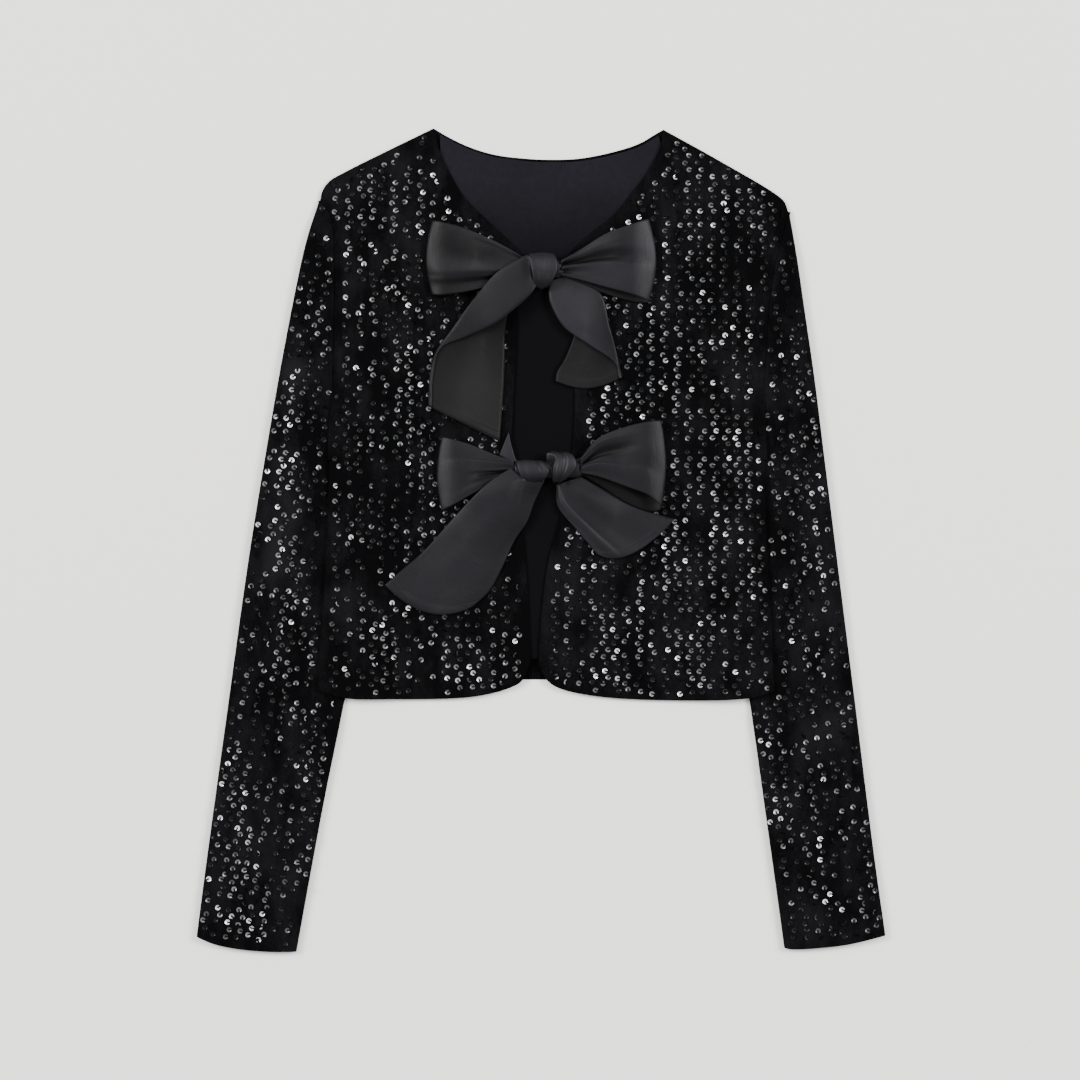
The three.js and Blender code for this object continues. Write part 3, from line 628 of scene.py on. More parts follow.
# Camera, floor and lights. The picture is square, and each of its pixels is 0.8 mm of the cloth
PICTURE_PIXELS = 1080
PIXEL = 0.8 * MM
CLOTH_HEIGHT = 0.005
CAMERA_PLACE = (-0.0008, 0.0004, 3.2)
FLOOR_REACH = 9000
FLOOR_LEVEL = -0.2

camera_data = bpy.data.cameras.new("camera")
camera_data.sensor_width = 36
distance = CAMERA_PLACE[2] - CLOTH_HEIGHT
camera_data.lens = camera_data.sensor_width * distance / (PICTURE_PIXELS * PIXEL)
camera = bpy.data.objects.new("camera", camera_data)
camera.location = CAMERA_PLACE
bpy.context.scene.collection.objects.link(camera)
bpy.context.scene.camera = camera

corners = [[x * FLOOR_REACH, y * FLOOR_REACH, FLOOR_LEVEL] for x, y in ((-1, -1), (1, -1), (1, 1), (-1, 1))]
mesh_object("floor", corners, [[0, 1, 2, 3]], pale_floor())

world = bpy.data.worlds.new("studio")
bpy.context.scene.world = world
world.use_nodes = True
sky = world.node_tree.nodes["Background"]
sky.inputs["Color"].default_value = (0.95, 0.96, 1.0, 1)
sky.inputs["Strength"].default_value = 0.8


def softbox(name, place, width, height, watts):
    """A soft light that is aimed at the middle of the cloth."""
    light = bpy.data.lights.new(name, "AREA")
    light.shape = "RECTANGLE"
    light.size = width
    light.size_y = height
    light.energy = watts
    obj = bpy.data.objects.new(name, light)
    obj.location = place
    obj.rotation_euler = (-Vector(place)).to_track_quat("-Z", "Y").to_euler()
    bpy.context.scene.collection.objects.link(obj)


softbox("top_light", (-0.5, 1.2, 3.4), 1.6, 1.2, 25)
softbox("left_light", (-4.2, 1.5, 3.9), 2.2, 2.2, 400)
softbox("right_light", (4.2, 1.2, 3.9), 2.2, 2.2, 400)


# The body's panels

def net_over(plan, columns, rows, width, length):
    """Places all over a piece, closer near its edges, and the shape of their grid."""
    u = spaced(columns, width)
    v = spaced(rows, length)
    return plan(*np.meshgrid(u, v)), (len(v), len(u))


def border_of(plan, steps):
    on = np.linspace(0, 1, steps)
    return np.vstack([plan(on, 0), plan(1, on), plan(on[::-1], 1), plan(0, on[::-1])])


def flat_wall(name, xy, shape, under, thickness, extra, edge, material, painted_lights=None):
    """A wall that lies on what is under it. extra is added on top. edge is the distance to the cut edge."""
    drop = rounded_edge(edge, thickness / 2)
    low = np.column_stack([xy, under + drop]).reshape(*shape, 3)
    high = np.column_stack([xy, under + thickness + extra * smooth(edge / 6) - drop]).reshape(*shape, 3)
    return closed_wall(name, low, high, material, xy, painted_lights)


def hem_groove(edge, inset, depth=0.35, half=1.3):
    """The soft line that a hem's stitching pulls into the cloth."""
    return -depth * smooth(1 - np.abs(edge - inset) / half)


def foot_share(u):
    """The back's foot is drawn out in its middle third, as its neck is."""
    u = np.asarray(u, float)
    return np.where(u < 1 / 3, u * 0.8, np.where(u > 2 / 3, 1 - (1 - u) * 0.8, 0.8 / 3 + (u - 1 / 3) * 1.4))


back_plan = patch(
    joined([back_along(SIDES["right"]["shoulder"]), BACK_NECK, SIDES["left"]["shoulder"]], [1 / 3, 2 / 3, 1]),
    lambda u: BACK_FOOT(foot_share(u)), SIDES["right"]["edge"], SIDES["left"]["edge"])


def make_back():
    xy, shape = net_over(back_plan, 120, 120, 365, 440)
    edge = distance_to(border_of(back_plan, 90), xy)
    piece = flat_wall("back_cloth", xy, shape, lift(xy), VELVET, hem_groove(edge, BACK_HEM), edge, velvet)
    rest(piece, "back")


def make_lining():
    """The lining stops short of the back's seams, in shares of the back, but reaches up to its neck."""
    side_inset = 1 / 24
    foot_inset = 1 / 24
    shoulder_inset = 0.045
    neck_inset = 0.006
    neck_half = 0.158

    def plan(u, v):
        across = side_inset + (1 - 2 * side_inset) * np.asarray(u)
        shoulder = smooth((np.abs(across - 0.5) - neck_half) / 0.01)
        top = neck_inset + (shoulder_inset - neck_inset) * shoulder
        return back_plan(across, top + (1 - foot_inset - top) * np.asarray(v))

    xy, shape = net_over(plan, 110, 110, 335, 420)
    edge = distance_to(border_of(plan, 60), xy)
    soft = waves(xy, 3, (90, 60), 0.22) + hem_groove(edge, LINING_HEM, 0.2)
    under = lift(xy) + VELVET + LAYER_GAP
    piece = flat_wall("lining_cloth", xy, shape, under, LINING, soft, edge, lining_cloth)
    rest(piece, "back_lining")


def front_under(side, xy):
    """The height of the front's lower face. At the seams it sinks a little into the back, as if sewn."""
    sewn_in = 0.25
    seam = np.minimum(distance_to(side["edge_points"], xy), away_from(side, "shoulder", 24, xy))
    rise = SEAM_GAP + OVER_LINING + fold_height(FRONT_FOLDS, xy)
    return lift(xy) + VELVET - sewn_in + (rise + sewn_in) * smooth(seam / LINING_RISE)


def seam_pucker(side, xy):
    """The armhole and side seams stand up as a soft ridge with small puckers beside it."""
    away = distance_to(side["edge_points"], xy)
    along = xy[:, 1]
    ripple = 0.5 + 0.5 * np.sin(along * 0.55 + 2.2 * np.sin(along * 0.061))
    ridge = smooth(1 - np.abs(away - 3.2) / 3.2)
    return 0.55 * ridge + 0.35 * ripple * smooth(1 - np.abs(away - 7) / 6)


def front_surface(side, xy):
    """What the creases and seams add to the front's upper face, and how far off its free edges are."""
    edge = np.minimum(away_from(side, "inner", 80, xy), away_from(side, "front_hem", 50, xy))
    creased = fold_height(FRONT_CREASES, xy, most=False) + waves(xy, 11, (70, 38), 0.28)
    return creased + hem_groove(edge, FRONT_HEM) + seam_pucker(side, xy), edge


def make_front(name, side):
    xy, shape = net_over(side["plan"], 96, 200, 165, 450)
    extra, free_edge = front_surface(side, xy)
    sewn_edge = np.minimum(distance_to(side["edge_points"], xy), away_from(side, "shoulder", 40, xy))
    edge = np.minimum(free_edge, sewn_edge)
    # The front's painted light and painted shade, in streaks
    lit = fold_height(PAINTED_LIGHT_STREAKS, xy, most=False)
    under = front_under(side, xy)
    piece = flat_wall(f"front_{name}_cloth", xy, shape, under, VELVET, extra, edge, velvet, lit)
    rest(piece, f"front_{name}")


# The sleeves

def sleeve_plan(side):
    """The place on a sleeve at an offset in millimetres from its inner edge, v from cuff to armhole."""
    def shifted(curve):
        return lambda t: curve(t) + [ARMHOLE_GAP * side["sign"], 0]

    share = 1 - GUIDE_FOOT / side["armhole"].length
    foot = shifted(part_of(side["armhole"], share, 0))(0.0)[0]
    guide = line(side["cuff"](CUFF_SHARE)[0], *side["guide"], foot)
    tucked = patch(part_of(side["cuff"], 0, CUFF_SHARE), shifted(part_of(side["armhole"], 1, share)),
                   shifted(side["sleeve_inner"]), guide)
    opened = patch(part_of(side["cuff"], CUFF_SHARE, 1), shifted(part_of(side["armhole"], share, 0)),
                   guide, shifted(side["sleeve_outer"]))

    def widths(v):
        under = np.linalg.norm(tucked(0.0, v) - tucked(1.0, v), axis=1)
        return under, under + np.linalg.norm(opened(0.0, v) - opened(1.0, v), axis=1)

    def at(offset, v):
        offset, v = (np.ravel(k) for k in np.broadcast_arrays(offset, v))
        under, width = widths(v)
        first = tucked(offset / under, v)
        return np.where((offset < under)[:, None], first, opened((offset - under) / (width - under), v))

    return at, widths


def sleeve_height(side, xy):
    outside = (xy[:, 0] - x_at_level(side["edge_points"], xy[:, 1])) * side["sign"]
    risen = np.maximum(smooth(outside / OPENING_REACH), smooth((HEM_LEVEL - xy[:, 1]) / OPENING_REACH))
    full = SLEEVE_HEIGHT + fold_height(SLEEVE_FOLDS, xy)
    return TUCKED_HEIGHT + (full - TUCKED_HEIGHT) * risen, risen


def sleeve_creases(side, xy, risen):
    cuff = away_from(side, "cuff", 30, xy)
    armhole = away_from(side, "armhole", 40, xy)
    ripple = 0.5 + 0.5 * np.sin(xy[:, 1] * 0.6 + 1.7 * np.sin(xy[:, 1] * 0.07))
    extra = fold_height(SLEEVE_CREASES, xy, most=False) + waves(xy, 23, (60, 34), 0.3)
    extra = extra + hem_groove(cuff, CUFF_HEM) + 0.4 * ripple * smooth(1 - np.abs(armhole - 4) / 5)
    return extra * risen * smooth(cuff / 5) * smooth(armhole / 2)


def make_sleeve(name, side):
    """A flattened tube: its underside, the round turn at its outer edge, its top and the inner turn."""
    plan, widths = sleeve_plan(side)
    v = spaced(170, 590)
    width = widths(v)[1]
    half_in = sleeve_height(side, plan(np.zeros(len(v)), v))[0] / 2
    half_out = sleeve_height(side, plan(width, v))[0] / 2
    across = np.linspace(0, 1, 42)
    turns = np.linspace(-math.pi / 2, math.pi / 2, 11)[1:-1]

    def flat(share):
        return plan(half_in + share * (width - half_in - half_out), v)

    grids = []
    for inset in (VELVET, 0.0):
        columns = [np.column_stack([flat(share), np.full(len(v), inset)]) for share in across]
        for turn in turns:
            xy = plan(width - half_out + (half_out - inset) * math.cos(turn), v)
            columns.append(np.column_stack([xy, half_out + (half_out - inset) * math.sin(turn)]))
        for share in across[::-1]:
            xy = flat(share)
            height, risen = sleeve_height(side, xy)
            if inset == 0:
                height = height + sleeve_creases(side, xy, risen) * min(1.0, 12 * share, 12 * (1 - share))
            columns.append(np.column_stack([xy, height - inset]))
        for turn in turns[::-1]:
            xy = plan(half_in - (half_in - inset) * math.cos(turn), v)
            columns.append(np.column_stack([xy, half_in + (half_in - inset) * math.sin(turn)]))
        grids.append(np.stack(columns, axis=1))
    uv = grids[1].reshape(-1, 3)[:, :2]
    # The sleeve's painted light and painted shade: a lighter base with streaks
    lit = 0.35 + fold_height(PAINTED_LIGHT_STREAKS, uv, most=False)
    piece = closed_wall(f"sleeve_{name}_cloth", grids[0], grids[1], velvet, uv, lit, round_columns=True)
    rest(piece, f"sleeve_{name}")


def armhole_seam(name, side):
    """The seam allowance that closes the armhole between the body and the sleeve."""
    t = np.linspace(0, 1, 140)
    path = side["armhole"](t)
    seam_foot = 0.25
    low = []
    high = []
    for offset in np.linspace(-1.6, 1.9, 9):
        xy = path + [offset * side["sign"], 0]
        top = lift(path) + VELVET + 1.1 + 0.6 * math.cos(offset * 0.8) + 0.12 * np.sin(t * 190)
        low.append(np.column_stack([xy, np.full(len(t), seam_foot)]))
        high.append(np.column_stack([xy, top]))
    low, high = np.stack(low, 1), np.stack(high, 1)
    piece = closed_wall(f"armhole_seam_{name}", low, high, velvet, high.reshape(-1, 3)[:, :2])
    rest(piece, None)


make_back()
make_lining()
make_front("right", SIDES["right"])
make_front("left", SIDES["left"])
make_sleeve("right", SIDES["right"])
make_sleeve("left", SIDES["left"])
armhole_seam("right", SIDES["right"])
armhole_seam("left", SIDES["left"])


# Sequins

def sequin_form():
    """A cupped disc with a hole in the middle. A thread runs from the hole over its rim, and pulls the pile
    over the disc in a wedge. The disc has painted light: it is palest at its rim, away from the thread."""
    turns = np.linspace(0, 2 * math.pi, 13)[:-1]
    # Rows of radius, height and painted rim light, and below of place along the thread, half width and height
    rings = [(0.45, 0.12, 0.4), (1.2, 0.2, 0.9), (SEQUIN_RADIUS, 0.55, 1.0)]
    disc = np.array([[r * math.cos(t), r * math.sin(t), z] for r, z, _ in rings for t in turns])
    painted_rim_light = np.array([pale * (0.82 - 0.18 * math.cos(t)) for _, _, pale in rings for t in turns])
    faces = grid_faces(len(rings), len(turns), 0, True, True)
    wedge = [(-0.6, 0.25, 0.3), (-0.2, 0.46, 0.42), (0.5, 0.46, 0.5), (1.4, 0.62, 0.66),
             (2.15, 0.9, 0.9), (2.6, 0.75, 0.1)]
    stitch = np.array([[x, y, z] for x, half, z in wedge for y in (-half, half)])
    steps = np.array([[k, k + 2, k + 3, k + 1] for k in range(0, 2 * len(wedge) - 2, 2)])
    return disc, faces, painted_rim_light, stitch, steps


def place_sequins(name, places, heights, slopes, turn, painted_lights):
    """One mesh of discs and one of stitches, each disc tilted with the cloth and turned about itself."""
    disc, faces, painted_rim_light, stitch, steps = sequin_form()
    normal = np.column_stack([-slopes, np.ones(len(places))])
    normal /= np.linalg.norm(normal, axis=1)[:, None]
    along = np.column_stack([np.cos(turn), np.sin(turn), np.zeros(len(turn))])
    along -= (along * normal).sum(1)[:, None] * normal
    along /= np.linalg.norm(along, axis=1)[:, None]
    side = np.cross(normal, along)
    basis = np.stack([along, side, normal], axis=1)
    centre = np.column_stack([places, heights])
    kinds = (("sequins", disc, faces, sequin_foil, painted_rim_light),
             ("stitches", stitch, steps, thread_black, np.ones(len(stitch))))
    for kind, form, quads, finish, shade in kinds:
        points = (np.einsum("kj,njc->nkc", form, basis) + centre[:, None, :]).reshape(-1, 3)
        all_faces = (quads[None] + (np.arange(len(places)) * len(form))[:, None, None]).reshape(-1, 4)
        shades = (painted_lights[:, None] * shade).ravel()
        rest(mesh_object(f"{name}_{kind}", points, all_faces, finish, painted_lights=shades), None)


def strewn(xy, seed, level):
    """Random and drifting tilt for the sequins at each place, and their painted glints. Some are painted
    dark, most of the others grey, and a few white where they flash."""
    pick = np.random.default_rng(seed)
    drift = np.column_stack([waves(xy, seed + 1, (150, 80), 0.1), waves(xy, seed + 2, (130, 70), 0.1)])
    slopes = drift + pick.normal(0, TILT, (len(xy), 2))
    wild = pick.random(len(xy)) < WILD_SHARE
    slopes[wild] += pick.normal(0, WILD_TILT, (wild.sum(), 2))
    # Painted light: where the waves and streaks are high, more sequins are painted grey and white
    light = level + waves(xy, seed + 3, (110, 60, 35), 0.3) + fold_height(PAINTED_LIGHT_STREAKS, xy, most=False)
    chance = pick.random(len(xy))
    painted_lights = pick.uniform(*DARK_TONES, len(xy))
    grey = chance < np.clip(light, 0.12, 0.9)
    painted_lights[grey] = pick.uniform(*GREY_TONES, grey.sum())
    fewest, most = FLASH_SHARES
    flash = chance < np.clip(fewest + 0.32 * (light - 0.36), fewest, most)
    painted_lights[flash] = pick.uniform(*FLASH_TONES, flash.sum())
    return slopes, painted_lights, pick


def slope_of(height, xy):
    step = 1.5
    return np.column_stack([(height(xy + [step, 0]) - height(xy - [step, 0])) / (2 * step),
                            (height(xy + [0, step]) - height(xy - [0, step])) / (2 * step)])


def inside(outline, xy):
    """Whether each place is inside a closed outline."""
    hit = np.zeros(len(xy), bool)
    for (x0, y0), (x1, y1) in zip(outline, np.roll(outline, -1, axis=0)):
        if y0 == y1:
            continue
        crosses = (y0 > xy[:, 1]) != (y1 > xy[:, 1])
        hit ^= crosses & (xy[:, 0] < x0 + (xy[:, 1] - y0) * (x1 - x0) / (y1 - y0))
    return hit


def front_sequins(name, side, seed, missing, level, turn_mean, turn_spread):
    t = np.linspace(0, 1, 120)
    back_round = 1 - t
    outline = np.vstack([side["shoulder"](t), side["edge"](t),
                         side["front_hem"](back_round), side["inner"](back_round)])
    pick = np.random.default_rng(seed)
    low, high = outline.min(0), outline.max(0)
    found = []
    for k, x in enumerate(np.arange(low[0] + 4, high[0], COLUMN_SPACING)):
        y = np.arange(low[1], high[1], SEQUIN_PITCH) + pick.uniform(0, SEQUIN_PITCH)
        zig = np.where(np.arange(len(y)) % 2, ZIGZAG, -ZIGZAG)
        sway = 1.6 * np.sin(y * 0.021 + k * 0.9)
        strayed = x + zig + sway + pick.normal(0, STRAY_ACROSS, len(y))
        found.append(np.column_stack([strayed, y + pick.normal(0, STRAY_ALONG, len(y))]))
    xy = np.vstack(found)
    xy = xy[inside(outline, xy)]
    seam = distance_to(side["edge_points"], xy)
    bare = np.minimum(away_from(side, "inner", 80, xy), away_from(side, "front_hem", 50, xy) + HEM_CLOSER)
    shoulder = away_from(side, "shoulder", 40, xy)
    thin = missing * (1 + waves(xy, seed + 9, (90, 55), 1.0))
    clear = (seam > SEAM_CLEAR) & (bare > BARE_EDGE) & (shoulder > SHOULDER_CLEAR)
    xy = xy[clear & (pick.random(len(xy)) > thin)]

    def height(p):
        edge = np.minimum(distance_to(side["edge_points"], p), 6)
        return front_under(side, p) + VELVET + front_surface(side, p)[0] * smooth(edge / 6)

    slopes, painted_lights, pick = strewn(xy, seed, level)
    turn = pick.normal(turn_mean, turn_spread, len(xy))
    flat = pressed(xy)
    slopes[flat] *= 0.2
    sunk = np.where(flat, -0.15, 0.05)
    place_sequins(f"front_{name}", xy, height(xy) + sunk, slope_of(height, xy) + slopes, turn, painted_lights)


def sleeve_sequins(name, side, seed, missing, level):
    """Columns run beside the sleeve's outer edge, and the body's side covers the last of them."""
    pick = np.random.default_rng(seed)
    columns = 15
    outer_line = side["sleeve_outer"]
    outer = outer_line(np.linspace(0, 1, 80))
    inner = side["sleeve_inner"](np.linspace(0, 1, 80))
    outline = np.vstack([outer, side["armhole"](np.linspace(0, 1, 40)), inner[::-1],
                         side["cuff"](np.linspace(0, 1, 30))])
    found = []
    for k in range(columns):
        run = np.arange(pick.uniform(2, 7), outer_line.length, SEQUIN_PITCH)
        zig = np.where(np.arange(len(run)) % 2, ZIGZAG, -ZIGZAG)
        run = run + pick.normal(0, STRAY_ALONG, len(run))
        here = outer_line(run / outer_line.length)
        after = outer_line(np.clip((run + 6) / outer_line.length, 0, 1))
        ahead = after - outer_line((run - 6) / outer_line.length)
        ahead /= np.linalg.norm(ahead, axis=1)[:, None]
        inwards = np.column_stack([ahead[:, 1], -ahead[:, 0]]) * -side["sign"]
        sway = 1.2 * np.sin(run * 0.02 + k)
        offset = 3.4 + k * COLUMN_SPACING + zig + sway + pick.normal(0, STRAY_ACROSS, len(run))
        found.append(here + inwards * offset[:, None])
    xy = np.vstack(found)
    xy = xy[inside(outline, xy)]
    outside = (xy[:, 0] - x_at_level(side["edge_points"], xy[:, 1])) * side["sign"]
    shown = (outside > BODY_CLEAR) | (xy[:, 1] < HEM_LEVEL - 1)
    cuff = away_from(side, "cuff", 30, xy)
    thin = missing * (1 + waves(xy, seed + 9, (90, 55), 1.0))
    rim = np.minimum(distance_to(outer, xy), distance_to(inner, xy))
    xy = xy[shown & (cuff > CUFF_CLEAR) & (rim > RIM_CLEAR) & (pick.random(len(xy)) > thin)]

    def height(p):
        top, risen = sleeve_height(side, p)
        half = top / 2
        near = np.minimum(distance_to(outer, p), distance_to(inner, p))
        crown = np.sqrt(np.clip(1 - (1 - np.clip(near / half, 0, 1)) ** 2, 0, 1))
        return half + half * crown + sleeve_creases(side, p, risen) * smooth(near / 6)

    slopes, painted_lights, pick = strewn(xy, seed, level)
    turn = pick.normal(-0.4, 1.0, len(xy))
    place_sequins(f"sleeve_{name}", xy, height(xy) + 0.05, slope_of(height, xy) + slopes, turn, painted_lights)


# The bows

def spline_rows(points, count):
    """A grid with its rows drawn out to count steps on smooth lines through the given rows."""
    rows, columns = points.shape[:2]
    flat = points.reshape(rows, -1)
    p = np.vstack([2 * flat[0] - flat[1], flat, 2 * flat[-1] - flat[-2]])
    t = np.linspace(0, rows - 1, count + 1)
    k = np.minimum(t.astype(int), rows - 2)
    f = (t - k)[:, None]
    a, b, c, d = p[k], p[k + 1], p[k + 2], p[k + 3]
    square = (2 * a - 5 * b + 4 * c - d) * f ** 2
    cube = (3 * b - a - 3 * c + d) * f ** 3
    return (0.5 * (2 * b + (c - a) * f + square + cube)).reshape(count + 1, columns, 3)


def crease_height(creases, share):
    """Creases run between two places on a ribbon, given in shares of its width and length. Each has a
    height at either end, and a half width on its side of lower and of higher share. They fade out at the
    ribbon's ends."""
    rise = np.zeros(len(share))
    for a0, t0, h0, a1, t1, h1, below, above in creases:
        run = np.array([a1 - a0, t1 - t0])
        k = np.clip(((share - [a0, t0]) @ run) / (run @ run), 0, 1)
        off = share - [a0, t0] - k[:, None] * run
        away = np.hypot(*off.T)
        half = below + (above - below) * (0.5 + 0.5 * off[:, 0] / np.maximum(away, 1e-6))
        rise += (h0 + (h1 - h0) * k) * smooth(1 - away / half)
    ends = np.minimum(share[:, 1], 1 - share[:, 1])
    return rise * smooth(ends / 0.03)


def painted_sheen(patches, share):
    """Painted sheen and painted shade on the satin: broad soft patches, each with the place of its middle,
    its half width and half length, all in shares of the ribbon's, and its amount."""
    lit = np.zeros(len(share))
    for a, t, half_a, half_t, amount in patches:
        lit += amount * smooth(1.25 - np.hypot((share[:, 0] - a) / half_a, (share[:, 1] - t) / half_t))
    return lit


def spline_between(stops, values, at):
    """A smooth curve through three values."""
    first, middle, last = values
    t = (np.asarray(at) - stops[0]) / (stops[2] - stops[0])
    return first * (1 - t) * (1 - 2 * t) + 4 * middle * t * (1 - t) + last * t * (2 * t - 1)


def facing(points):
    """The way that a grid's surface faces at each of its points."""
    normal = np.cross(np.gradient(points, axis=0), np.gradient(points, axis=1))
    return normal / np.maximum(np.linalg.norm(normal, axis=2), 1e-6)[..., None]


def ribbon(name, net, flat, steps, across, creases=(), patches=(), seed=5, soft=0.25, hem=False, face_at=0.3):
    """A ribbon through a net of points [row, column, xyz], with z above the fronts. flat, its width, length
    and area as cut, is not used. Its glossy face is the one that looks up near its first edge at face_at, a
    share of its length."""
    grid = spline_rows(np.asarray(net, float), steps)
    grid = spline_rows(grid.transpose(1, 0, 2), across).transpose(1, 0, 2)
    rows, columns = grid.shape[:2]
    s, t = np.meshgrid(np.linspace(0, 1, columns), np.linspace(0, 1, rows))
    share = np.column_stack([s.ravel(), t.ravel()])
    folded = crease_height(creases, share)
    # Painted sheen and painted shade: the listed patches, with painted light on crease ridges and painted
    # shade in crease troughs
    lit = painted_sheen(patches, share) + 0.25 * folded
    rise = folded + waves(share * 100, seed, (70, 40), soft)
    grid[..., 2] += front_top(grid[..., :2].reshape(-1, 2)).reshape(rows, columns)
    normal = facing(grid)
    grid = grid + normal * rise.reshape(rows, columns)[..., None] * np.where(normal[..., 2:] < 0, -1, 1)
    normal = facing(grid)
    step_across = np.linalg.norm(np.diff(grid, axis=1), axis=2)
    step_along = np.linalg.norm(np.diff(grid, axis=0), axis=2)
    run_across = np.concatenate([np.zeros((rows, 1)), np.cumsum(step_across, axis=1)], axis=1)
    run_along = np.concatenate([np.zeros((1, columns)), np.cumsum(step_along, axis=0)], axis=0)
    half = np.full((rows, columns), SATIN / 2)
    if hem:
        to_end = run_along[-1] - run_along
        half = half + HEM_SWELL * smooth((RIBBON_HEM + 1 - to_end) / 1.2)
    selvage = np.minimum(run_across, run_across[:, -1:] - run_across)
    half = half * (SELVAGE_SHARE + (1 - SELVAGE_SHARE) * smooth(selvage / 0.8))
    uv = np.column_stack([run_across.ravel(), run_along.ravel()])
    face_is_over = normal[int(face_at * (rows - 1)), :columns // 4, 2].mean() > 0
    under, over = grid - normal * half[..., None], grid + normal * half[..., None]
    piece = closed_wall(name + "_cloth", under, over, satin, uv, lit, inner=satin_reverse,
                        inner_is_over=not face_is_over)
    rest(piece, name)
    if hem:
        stitch_line(name + "_cloth_hem_stitches", grid, run_along, normal)
    width, length, area = flat


def stitch_line(name, grid, run_along, normal):
    """Small stitches along a ribbon's hem, each a thread with five sides and narrow ends."""
    spacing, long, sides = 2.6, 1.8, 5
    path = []
    for c in range(grid.shape[1]):
        left = run_along[-1, c] - run_along[:, c]
        j = int(np.argmin(np.abs(left - RIBBON_HEM)))
        path.append(grid[j, c] + normal[j, c] * 0.42)
    path = np.array(path)
    run = np.concatenate([[0], np.cumsum(np.linalg.norm(np.diff(path, axis=0), axis=1))])
    points = []
    faces = []
    for start in np.arange(1.2, run[-1] - 2.0, spacing):
        first_end, last_end = (np.array([np.interp(d, run, path[:, k]) for k in range(3)])
                               for d in (start, start + long))
        forward = last_end - first_end
        forward /= np.linalg.norm(forward)
        side = np.cross(forward, [0, 0, 1])
        up = np.cross(side, forward)
        rings = [(first_end, 0.05), (first_end + forward * 0.3, 0.17),
                 (last_end - forward * 0.3, 0.17), (last_end, 0.05)]
        faces.extend(grid_faces(len(rings), sides, len(points), True).tolist())
        for middle, radius in rings:
            for turn in np.arange(sides) * 2 * math.pi / sides:
                points.append(middle + side * radius * math.cos(turn) + up * radius * math.sin(turn))
    rest(mesh_object(name, points, faces, thread_black), None)


